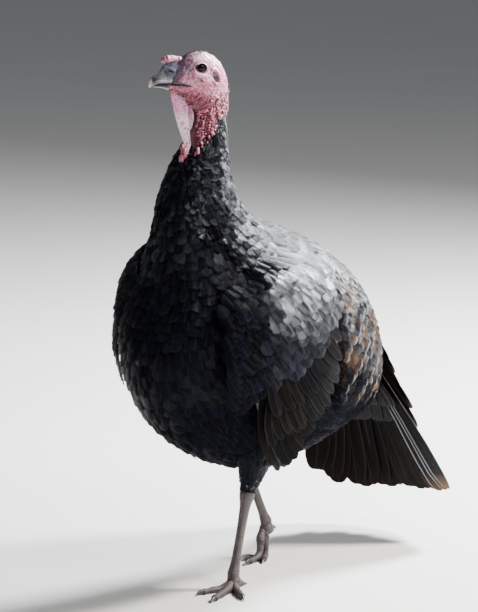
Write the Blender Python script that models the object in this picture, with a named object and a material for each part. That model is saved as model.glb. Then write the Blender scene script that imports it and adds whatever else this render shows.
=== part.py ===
"""Domestic turkey of a black breed, standing, life size, in metres.

The bird faces -Y, its left side is +X, and it stands on z = 0. Its head is turned to its right.
"""
import math
import random

import bmesh
import bpy
from mathutils import Matrix, Vector

GAP = 0.0003            # clearance kept between pieces that meet
TRIM = 0.0002           # how far inside its loft's end a fused piece is cut off square
CUT_CLEARANCE = 0.0005  # how far a neighbour is swollen before it is cut out of a piece
CUTTER_OVERLAP = 0.003  # how far the neck's cutter reaches into the trunk's
SHARP_FROM = math.radians(50)
NECK_AXIS_Y = -0.10     # upright line that the neck twists and the head turns about
HEAD_YAW = math.radians(39)

# Midline outline of the trunk, breast to rump: back y, z, belly y, z, and half width there.
TRUNK = (
    (-0.025, 0.545, -0.219, 0.460, 0.088),
    (0.012, 0.535, -0.238, 0.410, 0.110),
    (0.052, 0.520, -0.247, 0.360, 0.123),
    (0.096, 0.503, -0.232, 0.302, 0.129),
    (0.140, 0.479, -0.190, 0.248, 0.128),
    (0.184, 0.451, -0.125, 0.207, 0.121),
    (0.220, 0.416, -0.045, 0.180, 0.111),
    (0.246, 0.376, 0.036, 0.183, 0.097),
    (0.263, 0.333, 0.110, 0.196, 0.078),
    (0.274, 0.292, 0.175, 0.210, 0.055),
    (0.281, 0.257, 0.228, 0.224, 0.032),
)
TRUNK_END = 7.0         # station where the trunk stops and the tail's root begins

# Neck and head: back of neck (forward of the axis, z), throat (forward, z), half width, share of the turn.
NECK = (
    (-0.075, 0.545, 0.119, 0.460, 0.088, 0.0),
    (-0.049, 0.561, 0.109, 0.505, 0.070, 0.0),
    (-0.031, 0.580, 0.100, 0.545, 0.059, 0.05),
    (-0.021, 0.606, 0.088, 0.585, 0.051, 0.15),
    (-0.018, 0.632, 0.070, 0.620, 0.043, 0.3),
    (-0.019, 0.665, 0.047, 0.652, 0.0345, 0.55),
    (-0.020, 0.690, 0.034, 0.682, 0.0275, 0.85),
    (-0.020, 0.712, 0.031, 0.702, 0.0245, 1.0),
    (-0.0215, 0.730, 0.037, 0.716, 0.0235, 1.0),
    (-0.021, 0.748, 0.045, 0.725, 0.0222, 1.0),
    (-0.012, 0.771, 0.052, 0.731, 0.0220, 1.0),
    (0.003, 0.784, 0.057, 0.7345, 0.0215, 1.0),
    (0.019, 0.788, 0.060, 0.7365, 0.0200, 1.0),
    (0.035, 0.784, 0.0615, 0.7375, 0.0165, 1.0),
    (0.0475, 0.7765, 0.063, 0.738, 0.0128, 1.0),
)
BARE_FROM = 5.6         # station where the feathered neck gives way to bare skin
HEAD_FROM = 8.0         # station where the head sits on the neck

SECTION_POINTS = 24
ROUNDNESS = 0.92        # below 1 a section is a little fuller than an ellipse

# Upper and lower bill in the head's own plane: top forward, z, bottom forward, z, half width.
BILL_UPPER = (
    (0.0481, 0.7765, 0.0610, 0.7440, 0.0124),
    (0.0590, 0.7712, 0.0655, 0.7439, 0.0106),
    (0.0700, 0.7655, 0.0722, 0.7437, 0.0083),
    (0.0800, 0.7585, 0.0795, 0.7430, 0.0058),
    (0.0875, 0.7510, 0.0860, 0.7412, 0.0034),
    (0.0915, 0.7435, 0.0900, 0.7392, 0.0013),
)
BILL_LOWER = (
    (0.0613, 0.7433, 0.0648, 0.7338, 0.0112),
    (0.0668, 0.7433, 0.0690, 0.7350, 0.0094),
    (0.0740, 0.7430, 0.0745, 0.7364, 0.0068),
    (0.0815, 0.7421, 0.0815, 0.7380, 0.0036),
    (0.0850, 0.7409, 0.0848, 0.7390, 0.0013),
)
MOUTH_Z = 0.7436
GAPE_DROOP = 0.0016      # how far the line of the mouth falls towards its corner
GAPE_FORWARD = 0.0300
NOSTRIL_FORWARD, NOSTRIL_Z = 0.0625, 0.7605

EYE_FORWARD, EYE_Z, EYE_SIDE = 0.0192, 0.7666, 0.0135
EYE_RADIUS = 0.0068
EAR_FORWARD, EAR_Z = -0.0015, 0.7585
SNOOD_ROOT = (0.0470, 0.7790)
SNOOD_LENGTH, SNOOD_RADIUS = 0.026, 0.0047

CARUNCLE_ROWS = 5
CARUNCLES_IN_ROW = 10

# Front fold of throat skin: z, rear forward, front forward, half thickness, share of the head's turn.
DEWLAP = (
    (0.7340, 0.045, 0.0595, 0.0020, 1.0),
    (0.7180, 0.030, 0.0560, 0.0026, 0.95),
    (0.7000, 0.020, 0.0515, 0.0028, 0.85),
    (0.6820, 0.022, 0.0480, 0.0030, 0.65),
    (0.6660, 0.030, 0.0500, 0.0032, 0.40),
    (0.6520, 0.038, 0.0540, 0.0030, 0.20),
    (0.6440, 0.044, 0.0540, 0.0018, 0.15),
)

# Core of the folded wing in side view, front to rear: top y, z, bottom y, z, thickness.
WING = (
    (-0.152, 0.455, -0.165, 0.395, 0.010),
    (-0.130, 0.480, -0.163, 0.335, 0.022),
    (-0.100, 0.493, -0.145, 0.285, 0.026),
    (-0.065, 0.494, -0.112, 0.255, 0.023),
    (-0.028, 0.486, -0.075, 0.240, 0.017),
    (0.004, 0.468, -0.038, 0.240, 0.012),
    (0.028, 0.438, 0.000, 0.262, 0.009),
    (0.040, 0.400, 0.030, 0.320, 0.005),
)
WING_CROWN = 0.6        # below 1 the fullest part of the folded wing lies nearer its top
WING_DROP = 0.84        # how far down its own curve the hanging wing follows the trunk

# Wing feathers, each tier from its lowest feather up: how many, roots from and to in side view,
# tips from and to, half width, how high root and tip lie over the trunk.
WING_TIERS = (
    ("primary", 7, (-0.148, 0.345), (-0.120, 0.275), (-0.066, 0.184), (-0.022, 0.190), 0.015, 0.004, 0.0015),
    ("secondary", 9, (-0.110, 0.285), (-0.005, 0.430), (-0.010, 0.200), (0.056, 0.385), 0.020, 0.0065, 0.006),
    ("greater", 7, (-0.138, 0.335), (-0.025, 0.455), (-0.088, 0.238), (0.036, 0.400), 0.019, 0.010, 0.0165),
    ("median", 6, (-0.146, 0.380), (-0.045, 0.475), (-0.105, 0.290), (0.010, 0.425), 0.020, 0.016, 0.025),
)
WING_SHIFT = {"left": (0.0, 0.0), "right": (0.010, 0.024)}
VANE_THICKNESS = 0.0008
VANE_ROLL = math.radians(10)

TAIL_ROOT = Vector((0.0, 0.229, 0.336))
TAIL_PITCH = math.radians(-60)
TAIL_SPREAD = math.radians(18)
TAIL_ROOF = 0.022       # how far the outer feathers hang below the middle pair
TAIL_BOW = 0.012        # how far a feather sags over its length
TAIL_TILT = 0.018       # how far the fan is rolled, right side down, at its outer tips
TAIL_STACK = 0.0011     # how far each feather lies under its inner neighbour

# Tail feathers and coverts, lowest first: how many, start past the root, length, height, half width,
# half the width over the roots.
TAIL_TIERS = (
    (5, 0.030, 0.110, -0.030, 0.0220, 0.028),
    (16, 0.000, 0.288, 0.000, 0.0215, 0.036),
    (9, 0.006, 0.136, 0.013, 0.0210, 0.040),
    (7, -0.002, 0.096, 0.022, 0.0220, 0.041),
)

GROUND = 0.014          # height of the floor in the numbers above, before the bird is set on its origin
ORIGIN = Vector((0.0, 0.0555, GROUND))
HIP = {"left": (0.053, -0.055, 0.250), "right": (-0.054, 0.000, 0.250)}
HOCK = {"left": (0.046, -0.078, 0.154), "right": (-0.044, 0.036, 0.164)}
ANKLE = {"left": (0.036, -0.098, 0.036), "right": (-0.041, 0.082, 0.070)}
HUB_Z = {"left": 0.0115, "right": 0.0455}
SPLAY = {"left": 1.0, "right": 0.72}   # how widely the toes part
FOOT_TURN = {"left": math.radians(14), "right": math.radians(-6)}
SIDES = {"left": 1, "right": -1}

# Toes: turn from straight ahead (outward is positive), length without claw, radius at the root.
TOES = (
    ("inner", -32, 0.052, 0.0062),
    ("middle", 2, 0.072, 0.0068),
    ("outer", 36, 0.056, 0.0062),
    ("hind", 172, 0.024, 0.0050),
)
CLAW_LENGTH = 0.015
MANY = "MANIFOLD"       # solver for a node of many crossing pieces


def clear_scene():
    for obj in list(bpy.data.objects):
        bpy.data.objects.remove(obj, do_unlink=True)


def make_material(name, colour, roughness, metallic=0.0):
    mat = bpy.data.materials.new(name)
    mat.use_nodes = True
    shader = mat.node_tree.nodes["Principled BSDF"]
    shader.inputs["Base Color"].default_value = (*colour, 1.0)
    shader.inputs["Roughness"].default_value = roughness
    shader.inputs["Metallic"].default_value = metallic
    return mat


def soften(mesh):
    mesh.shade_smooth()
    mesh.set_sharp_from_angle(angle=SHARP_FROM)


def add_object(name, mesh, mat, collection):
    obj = bpy.data.objects.new(name, mesh)
    collection.objects.link(obj)
    mesh.materials.append(mat)
    soften(mesh)
    return obj


def between(table, s):
    """The row of a station table at a fractional station, on a smooth curve through the stations."""
    s = min(max(s, 0.0), len(table) - 1.0)
    i = min(int(s), len(table) - 2)
    t = s - i
    before, a, b, after = (table[min(max(k, 0), len(table) - 1)] for k in (i - 1, i, i + 1, i + 2))
    return [
        0.5 * (2 * q + (r - p) * t + (2 * p - 5 * q + 4 * r - v) * t * t + (3 * q - p - 3 * r + v) * t ** 3)
        for p, q, r, v in zip(before, a, b, after)
    ]


def steps(start, end, count):
    return [start + (end - start) * k / (count - 1) for k in range(count)]


NECK_STATIONS = steps(0, BARE_FROM, 12)
THROAT_STATIONS = steps(BARE_FROM, HEAD_FROM, 7)
HEAD_STATIONS = steps(HEAD_FROM, len(NECK) - 1, 11)
TRUNK_STATIONS = steps(0, TRUNK_END, 18)


def trunk_ring(s, points=SECTION_POINTS, swell=0.0):
    back_y, back_z, belly_y, belly_z, half = between(TRUNK, s)
    back, belly = Vector((0, back_y, back_z)), Vector((0, belly_y, belly_z))
    line = (belly - back).normalized()
    back, belly, half = back - line * swell, belly + line * swell, half + swell
    ring = []
    for k in range(points):
        turn = 2 * math.pi * k / points
        side = math.copysign(abs(math.sin(turn)) ** ROUNDNESS, math.sin(turn))
        ring.append(back.lerp(belly, 0.5 - 0.5 * math.cos(turn)) + Vector((half * side, 0, 0)))
    return ring


def head_point(side, forward, z, turn_share=1.0):
    """A point given beside and forward of the neck's axis, turned with the head."""
    yaw = HEAD_YAW * turn_share
    return Vector((
        side * math.cos(yaw) - forward * math.sin(yaw),
        NECK_AXIS_Y - side * math.sin(yaw) - forward * math.cos(yaw),
        z,
    ))


def neck_ring(s, points=SECTION_POINTS, swell=0.0):
    back_f, back_z, front_f, front_z, half, share = between(NECK, s)
    run = Vector((front_f - back_f, front_z - back_z)).normalized() * swell
    ring = []
    for k in range(points):
        turn = 2 * math.pi * k / points
        along = 0.5 - 0.5 * math.cos(turn)
        side = (half + swell) * math.copysign(abs(math.sin(turn)) ** ROUNDNESS, math.sin(turn))
        forward = back_f - run.x + (front_f - back_f + 2 * run.x) * along
        z = back_z - run.y + (front_z - back_z + 2 * run.y) * along
        ring.append(head_point(side, forward, z, share))
    return ring


def loft(rings):
    """One closed skin through rings of equal count, with a fan over each end."""
    mesh = bmesh.new()
    loops = [[mesh.verts.new(p) for p in ring] for ring in rings]
    count = len(rings[0])
    for low, high in zip(loops, loops[1:]):
        for k in range(count):
            j = (k + 1) % count
            mesh.faces.new((low[k], low[j], high[j]))
            mesh.faces.new((low[k], high[j], high[k]))
    for loop in (loops[0], loops[-1]):
        middle = mesh.verts.new(sum((v.co for v in loop), Vector()) / count)
        for k in range(count):
            mesh.faces.new((loop[k], loop[(k + 1) % count], middle))
    bmesh.ops.recalc_face_normals(mesh, faces=mesh.faces)
    made = bpy.data.meshes.new("loft")
    mesh.to_mesh(made)
    mesh.free()
    return made


def evaluated_mesh(obj):
    graph = bpy.context.evaluated_depsgraph_get()
    return bpy.data.meshes.new_from_object(obj.evaluated_get(graph))


def keep_largest(mesh):
    """Leaves only the largest closed surface of a mesh."""
    work = bmesh.new()
    work.from_mesh(mesh)
    unseen, shells = set(work.verts), []
    while unseen:
        shell, edge = set(), [unseen.pop()]
        while edge:
            vert = edge.pop()
            shell.add(vert)
            for link in vert.link_edges:
                other = link.other_vert(vert)
                if other in unseen:
                    unseen.discard(other)
                    edge.append(other)
        shells.append(shell)
    shells.sort(key=len, reverse=True)
    bmesh.ops.delete(work, geom=[v for shell in shells[1:] for v in shell], context="VERTS")
    bmesh.ops.triangulate(work, faces=work.faces)
    work.to_mesh(mesh)
    work.free()


def fuse(name, meshes, mat, collection, cutters=(), solver="EXACT"):
    """One node from several closed meshes: they are joined, then the cutters are taken out."""
    body = add_object(name, meshes[0], mat, collection)
    for suffix, operation, group in (("_join", "UNION", meshes[1:]), ("_cut", "DIFFERENCE", cutters)):
        if not group:
            continue
        helpers = bpy.data.collections.new(name + suffix)
        bpy.context.scene.collection.children.link(helpers)
        for k, mesh in enumerate(group):
            helpers.objects.link(bpy.data.objects.new(f"{name}{suffix}_{k}", mesh))
        modifier = body.modifiers.new(operation.title(), "BOOLEAN")
        modifier.operation, modifier.operand_type = operation, "COLLECTION"
        modifier.solver = solver
        modifier.collection = helpers
        bpy.context.view_layer.update()
        body.data = evaluated_mesh(body)
        body.modifiers.clear()
        for helper in list(helpers.objects):
            bpy.data.objects.remove(helper, do_unlink=True)
        bpy.data.collections.remove(helpers)
    keep_largest(body.data)
    soften(body.data)
    return body


def ball(centre, radii, turn=Matrix.Identity(4), rings=8, around=10):
    work = bmesh.new()
    place = Matrix.Translation(centre) @ turn @ Matrix.Diagonal((*radii, 1.0))
    bmesh.ops.create_uvsphere(work, u_segments=around, v_segments=rings, radius=1.0, matrix=place)
    bmesh.ops.triangulate(work, faces=work.faces)
    made = bpy.data.meshes.new("ball")
    work.to_mesh(made)
    work.free()
    return made


def bead(centre, radii, turn):
    """A small round swelling."""
    work = bmesh.new()
    place = Matrix.Translation(centre) @ turn @ Matrix.Diagonal((*radii, 1.0))
    bmesh.ops.create_icosphere(work, subdivisions=1, radius=1.0, matrix=place)
    made = bpy.data.meshes.new("bead")
    work.to_mesh(made)
    work.free()
    return made


def box(centre, turn, half_sizes):
    work = bmesh.new()
    place = Matrix.Translation(centre) @ turn @ Matrix.Diagonal((*half_sizes, 1))
    bmesh.ops.create_cube(work, size=2.0, matrix=place)
    bmesh.ops.triangulate(work, faces=work.faces)
    made = bpy.data.meshes.new("box")
    work.to_mesh(made)
    work.free()
    return made


def beyond(ring, way, gap=0.0):
    """A block that cuts off what lies past the plane of a ring, on the side of a direction."""
    normal = ring_normal(ring)
    if normal.dot(way) < 0:
        normal = -normal
    middle = sum(ring, Vector()) / len(ring)
    turned = normal.to_track_quat("Z", "Y").to_matrix().to_4x4()
    return box(middle + normal * (0.1 - gap - TRIM), turned, (0.3, 0.3, 0.1))


def swollen_trunk():
    return loft([trunk_ring(s, swell=CUT_CLEARANCE) for s in TRUNK_STATIONS])


def station_at(y, z):
    """The trunk station whose section passes through a point of the side view, and how far down it lies."""
    low, high = 0.0, len(TRUNK) - 1.0
    for _ in range(30):
        middle = (low + high) / 2
        back_y, back_z, belly_y, belly_z, _half = between(TRUNK, middle)
        beyond = (belly_y - back_y) * (z - back_z) - (belly_z - back_z) * (y - back_y)
        low, high = (low, middle) if beyond < 0 else (middle, high)
    back_y, back_z, belly_y, belly_z, half = between(TRUNK, low)
    run = Vector((belly_y - back_y, belly_z - back_z))
    share = Vector((y - back_y, z - back_z)).dot(run) / run.length_squared
    return low, share, half


def flank_x(y, z, drop=1.0):
    """Half width of the trunk at a point of the side view; a drop below 1 hangs it like a curtain."""
    _s, share, half = station_at(y, z)
    lean = 1 - 2 * min(max(share * drop, 0.0), 1.0)
    return half * math.sqrt(max(1 - lean * lean, 0.0)) ** ROUNDNESS


def wing_x(y, z):
    return max(flank_x(y, z), flank_x(y, z, WING_DROP))


def on_wing(y, z, lift):
    """A point over the left flank, lifted off the curtain that the hanging wing follows."""
    step = 0.004
    here = Vector((wing_x(y, z), y, z))
    along = Vector((wing_x(y + step, z) - wing_x(y - step, z), 2 * step, 0))
    down = Vector((wing_x(y, z - step) - wing_x(y, z + step), 0, -2 * step))
    out = down.cross(along).normalized()
    if out.x < 0:
        out = -out
    return here + out * lift, out


def mirrored(mesh):
    mesh.transform(Matrix.Diagonal((-1, 1, 1, 1)))
    mesh.flip_normals()
    return mesh


def vane(path, facing, half_width, roll=0.0, tip=0.25):
    """A flight feather or covert: a thin tapered blade along a path, split alike on both faces."""
    work = bmesh.new()
    rows = []
    for i, (point, out) in enumerate(zip(path, facing)):
        t = i / (len(path) - 1)
        ahead = path[min(i + 1, len(path) - 1)] - path[max(i - 1, 0)]
        across = out.cross(ahead).normalized()
        out = ahead.cross(across).normalized() * -1
        if out.dot(facing[i]) < 0:
            out = -out
        shape = min(0.45 + 1.6 * t, 1.0) * (1.0 if t < 0.99 else tip)
        half = half_width * shape
        edges = [point + (across - out * math.sin(roll)) * share * half for share in (-1, 1)]
        thick = out * VANE_THICKNESS / 2
        rows.append(([work.verts.new(e + thick) for e in edges], [work.verts.new(e - thick) for e in edges]))
    for (top, low), (next_top, next_low) in zip(rows, rows[1:]):
        for k in range(len(top) - 1):
            work.faces.new((top[k], top[k + 1], next_top[k + 1]))
            work.faces.new((top[k], next_top[k + 1], next_top[k]))
            work.faces.new((low[k + 1], low[k], next_low[k + 1]))
            work.faces.new((next_low[k + 1], low[k], next_low[k]))
        for a, b, c, d in (
            (low[0], top[0], next_top[0], next_low[0]),
            (top[-1], low[-1], next_low[-1], next_top[-1]),
        ):
            work.faces.new((a, b, c))
            work.faces.new((a, c, d))
    for top, low in (rows[0], rows[-1]):
        for k in range(len(top) - 1):
            work.faces.new((top[k], low[k], low[k + 1]))
            work.faces.new((top[k], low[k + 1], top[k + 1]))
    bmesh.ops.recalc_face_normals(work, faces=work.faces)
    made = bpy.data.meshes.new("vane")
    work.to_mesh(made)
    work.free()
    return made


def wing_core(shift):
    rings = []
    for s in steps(0, len(WING) - 1, 12):
        top_y, top_z, low_y, low_z, thick = between(WING, s)
        outer, inner = [], []
        for k in range(8):
            t = k / 7
            y, z = top_y + (low_y - top_y) * t + shift[0], top_z + (low_z - top_z) * t + shift[1]
            full = thick * math.sqrt(max(1 - (2 * t ** WING_CROWN - 1) ** 2, 0.0))
            outer.append(on_wing(y, z, full)[0])
            if 0 < k < 7:
                inner.append(on_wing(y, z, -0.003)[0])
        rings.append(outer + inner[::-1])
    return loft(rings)


def wing_feathers(rng, shift):
    meshes = []
    for name, count, root_a, root_b, tip_a, tip_b, half, root_lift, tip_lift in WING_TIERS:
        flight = name in ("primary", "secondary")
        points = 4 if flight else 3
        for i in range(count):
            share = i / (count - 1)
            root_y = root_a[0] + (root_b[0] - root_a[0]) * share
            root_z = root_a[1] + (root_b[1] - root_a[1]) * share
            tip_y = tip_a[0] + (tip_b[0] - tip_a[0]) * share + rng.uniform(-0.002, 0.002)
            tip_z = tip_a[1] + (tip_b[1] - tip_a[1]) * share + rng.uniform(-0.003, 0.003)
            path, facing = [], []
            for k in range(points):
                t = k / (points - 1)
                bow = 0.010 * math.sin(math.pi * t)
                y, z = root_y + (tip_y - root_y) * t - bow, root_z + (tip_z - root_z) * t - bow * 0.4
                point, out = on_wing(y + shift[0], z + shift[1], root_lift + (tip_lift - root_lift) * t)
                path.append(point)
                facing.append(out)
            meshes.append(vane(path, facing, half, VANE_ROLL))
    return meshes


def make_wing(side, mat, parts, cutters):
    rng = random.Random(11 if side == "left" else 17)
    shift = WING_SHIFT[side]
    meshes = [wing_core(shift), *wing_feathers(rng, shift)]
    if side == "right":
        meshes = [mirrored(mesh) for mesh in meshes]
    return fuse(f"wing_{side}", meshes, mat, parts, cutters, MANY)


def ring_normal(ring):
    count = len(ring)
    return (ring[count // 4] - ring[0]).cross(ring[count // 2] - ring[0]).normalized()


def onward(rings):
    """The way out of the plane of a loft's first ring, towards the second."""
    step = sum(rings[1], Vector()) / len(rings[1]) - sum(rings[0], Vector()) / len(rings[0])
    normal = ring_normal(rings[0])
    return normal if normal.dot(step) > 0 else -normal


def parted(rings):
    """Rings of a loft whose first one is drawn back by the gap, towards the second."""
    normal = onward(rings)
    return [[p + normal * GAP for p in rings[0]], *rings[1:]]


def make_torso(mat, parts):
    mesh = loft([trunk_ring(s) for s in TRUNK_STATIONS])
    return add_object("torso", mesh, mat, parts)


def make_neck(mat, parts):
    mesh = loft(parted([neck_ring(s) for s in NECK_STATIONS]))
    return add_object("neck", mesh, mat, parts)


def skin_point(s, turn, lift=0.0):
    """A point on the skin of neck or head at a station and a turn, nought at the back, and the way out."""
    here = ring_point(s, turn)
    out = (ring_point(s, turn + 0.05) - ring_point(s, turn - 0.05)).cross(
        ring_point(s + 0.05, turn) - ring_point(s - 0.05, turn)
    )
    out.normalize()
    middle = (ring_point(s, 0.0) + ring_point(s, math.pi)) / 2
    if out.dot(here - middle) < 0:
        out = -out
    return here + out * lift, out


def ring_point(s, turn):
    back_f, back_z, front_f, front_z, half, share = between(NECK, s)
    along = 0.5 - 0.5 * math.cos(turn)
    side = half * math.copysign(abs(math.sin(turn)) ** ROUNDNESS, math.sin(turn))
    return head_point(side, back_f + (front_f - back_f) * along, back_z + (front_z - back_z) * along, share)


def make_throat(mat, parts):
    """The bare upper neck with its caruncles, densest behind and below the ears."""
    rng = random.Random(5)
    meshes = [loft(parted([neck_ring(s) for s in THROAT_STATIONS]))]
    for row in range(CARUNCLE_ROWS):
        s = BARE_FROM + 0.22 + row * 0.46
        for k in range(CARUNCLES_IN_ROW):
            turn = math.radians(360 / CARUNCLES_IN_ROW * (k + 0.5 * (row % 2)))
            if math.cos(turn) < -0.80:
                continue
            radius = rng.uniform(0.0030, 0.0050)
            s_here = s + rng.uniform(-0.10, 0.10)
            point, out = skin_point(s_here, turn + rng.uniform(-0.12, 0.12), radius * 0.35)
            turned = out.to_track_quat("Z", "Y").to_matrix().to_4x4()
            meshes.append(bead(point, (radius, radius * 1.2, radius * 0.85), turned))
    cuts = [
        beyond(neck_ring(BARE_FROM), Vector((0, 0, -1)), GAP),
        beyond(neck_ring(HEAD_FROM), Vector((0, 0, 1))),
    ]
    return fuse("throat", meshes, mat, parts, cuts)


def tube(path, radii, sides=8, squash=1.0):
    """A closed round rod of changing radius along a path, flattened upright by the squash."""
    rings = []
    for i, point in enumerate(path):
        ahead = (path[min(i + 1, len(path) - 1)] - path[max(i - 1, 0)]).normalized()
        turn = ahead.to_track_quat("Z", "Y").to_matrix()
        ring = []
        for k in range(sides):
            angle = 2 * math.pi * (k + 0.5) / sides
            ring.append(point + turn @ Vector((math.cos(angle), math.sin(angle) * squash, 0)) * radii[i])
        rings.append(ring)
    return loft(rings)


def eye_centre(side):
    return head_point(EYE_SIDE * SIDES[side], EYE_FORWARD, EYE_Z)


def eye_socket(side):
    return ball(eye_centre(side), [EYE_RADIUS + CUT_CLEARANCE] * 3, rings=12, around=16)


def eye_lids(side):
    """The upper and the lower lid, soft rims that meet at the corners of the eye, heavier above."""
    sign = SIDES[side]
    lids = []
    for start, radius in ((0, 0.0024), (math.pi, 0.0018)):
        path, radii = [], []
        for t in steps(0, 1, 6):
            angle = start + math.pi * t
            forward = EYE_FORWARD + math.cos(angle) * 0.0078
            reach = EYE_SIDE + 0.0060 - 0.3 * abs(forward - EYE_FORWARD)
            path.append(head_point(reach * sign, forward, EYE_Z + math.sin(angle) * 0.0062))
            radii.append(radius * (0.6 + 0.4 * math.sin(math.pi * t)))
        lids.append(tube(path, radii, 5))
    return lids


def head_side(forward, z):
    """Half width of the head at a point of its own side view."""
    low, high = HEAD_FROM - 2.0, len(NECK) - 1.0
    for _ in range(30):
        middle = (low + high) / 2
        back_f, back_z, front_f, front_z, _half, _share = between(NECK, middle)
        beyond = (front_f - back_f) * (z - back_z) - (front_z - back_z) * (forward - back_f)
        low, high = (middle, high) if beyond > 0 else (low, middle)
    back_f, back_z, front_f, front_z, half, _share = between(NECK, low)
    run = Vector((front_f - back_f, front_z - back_z))
    share = Vector((forward - back_f, z - back_z)).dot(run) / run.length_squared
    lean = 1 - 2 * min(max(share, 0.0), 1.0)
    return half * math.sqrt(max(1 - lean * lean, 0.0)) ** ROUNDNESS


def on_head(side, forward, z, lift=0.0):
    return head_point((head_side(forward, z) + lift) * SIDES[side], forward, z)


def mouth_z(forward):
    return MOUTH_Z - GAPE_DROOP * (max(0.0590 - forward, 0.0) / 0.029) ** 2


def lips(side):
    """The soft edges of the gape, above and below the line of the mouth, closed behind its corner."""
    meshes = []
    for rise in (0.0018, -0.0018):
        path, radii = [], []
        for t in steps(0, 1, 4):
            forward = GAPE_FORWARD - 0.002 + (0.0590 - GAPE_FORWARD + 0.002) * t
            z = mouth_z(forward) + rise * min(4 * t + 0.2, 1)
            path.append(on_head(side, forward, z, -0.0003))
            radii.append(0.0017)
        meshes.append(tube(path, radii, 5))
    return meshes


def mouth_cut(side):
    """The line of the mouth, cut from its corner to the root of the bill."""
    path = []
    for forward in steps(GAPE_FORWARD, 0.0665, 5):
        skin = min(forward, 0.0600)
        ahead = head_point(0, forward, 0) - head_point(0, skin, 0)
        path.append(on_head(side, skin, mouth_z(forward), 0.0020) + ahead)
    return tube(path, [0.0012, *[0.0038] * 4], 4, 0.18)


def ear_parts(side):
    """The rim of the ear opening, and the cup that is hollowed within it."""
    rims = []
    for start in (0, math.pi):
        rim = []
        for t in steps(0, 1, 5):
            angle = start + math.pi * t
            forward, z = EAR_FORWARD + math.sin(angle) * 0.0044, EAR_Z + math.cos(angle) * 0.0086
            rim.append(on_head(side, forward, z, 0.0001))
        rims.append(tube(rim, [0.0016] * len(rim), 4))
    centre = on_head(side, EAR_FORWARD, EAR_Z, 0.0006)
    cup = ball(centre, (0.0036, 0.0032, 0.0072), Matrix.Rotation(-HEAD_YAW, 4, "Z"), 6, 8)
    return rims, cup


def make_head(mat, parts):
    meshes = [loft(parted([neck_ring(s) for s in HEAD_STATIONS]))]
    cuts = []
    for side in SIDES:
        rim, hollow = ear_parts(side)
        meshes += [*eye_lids(side), *lips(side), *rim]
        cuts += [eye_socket(side), mouth_cut(side), hollow]
    ahead = head_point(0, 1, 0) - head_point(0, 0, 0)
    cuts.append(beyond(neck_ring(len(NECK) - 1), ahead))
    cuts.append(beyond(neck_ring(HEAD_FROM), Vector((0, 0, -1)), GAP))
    return fuse("head", meshes, mat, parts, cuts, MANY)


def bill_mesh(table, flat_low, swell=0.0):
    rings = []
    for top_f, top_z, low_f, low_z, half in (between(table, s) for s in steps(0, len(table) - 1, 8)):
        ring = []
        for k in range(12):
            turn = 2 * math.pi * k / 12
            along = 0.5 - 0.5 * math.cos(turn)
            along = min(along * 1.08, 1.0) if flat_low else max(along * 1.08 - 0.08, 0.0)
            side = (half + swell) * math.copysign(abs(math.sin(turn)) ** 0.8, math.sin(turn))
            z = top_z + swell + (low_z - top_z - 2 * swell) * along
            ring.append(head_point(side, top_f + (low_f - top_f) * along, z))
        rings.append(ring)
    if swell:
        back = head_point(0, -0.002, 0) - head_point(0, 0, 0)
        rings.insert(0, [p + back for p in rings[0]])
    return loft(rings)


def make_bill(mat, parts, cutters):
    nostrils = [
        ball(head_point(0.0085 * sign, NOSTRIL_FORWARD, NOSTRIL_Z), (0.0035, 0.0042, 0.0017),
             Matrix.Rotation(-HEAD_YAW, 4, "Z"), 6, 8)
        for sign in SIDES.values()
    ]
    fuse("bill_upper", [bill_mesh(BILL_UPPER, True)], mat, parts, [*nostrils, *cutters])
    add_object("bill_lower", bill_mesh(BILL_LOWER, False), mat, parts)


def snood_mesh():
    forward, z = SNOOD_ROOT
    path, radii = [], []
    for t, size in ((-0.25, 0.7), (0.0, 0.8), (0.3, 0.95), (0.6, 1.0), (0.85, 0.8), (1.0, 0.35)):
        path.append(head_point(0, forward + SNOOD_LENGTH * t, z + 0.004 * math.sin(math.pi * max(t, 0.0))))
        radii.append(SNOOD_RADIUS * size)
    return tube(path, radii, 8)


def dewlap_mesh():
    rings = []
    for s in steps(0, len(DEWLAP) - 1, 12):
        z, rear, front, half, share = between(DEWLAP, s)
        ring = []
        for k in range(10):
            turn = 2 * math.pi * k / 10
            forward = (rear + front) / 2 - (front - rear) / 2 * math.cos(turn)
            ring.append(head_point(half * math.sin(turn), forward, z, share))
        rings.append(ring)
    return loft(rings)


def make_dewlap(mat, parts, cutters):
    lobes = [
        ball(head_point(0.002, 0.050, 0.6470, 0.15), (0.0050, 0.0060, 0.0110), rings=6, around=8),
        ball(head_point(0.009, 0.042, 0.6600, 0.2), (0.0045, 0.0050, 0.0095), rings=6, around=8),
    ]
    return fuse("dewlap", [dewlap_mesh(), *lobes], mat, parts, cutters)


def tail_core():
    rings = parted([trunk_ring(s) for s in steps(TRUNK_END, len(TRUNK) - 1, 5)])
    return loft(rings)


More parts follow.
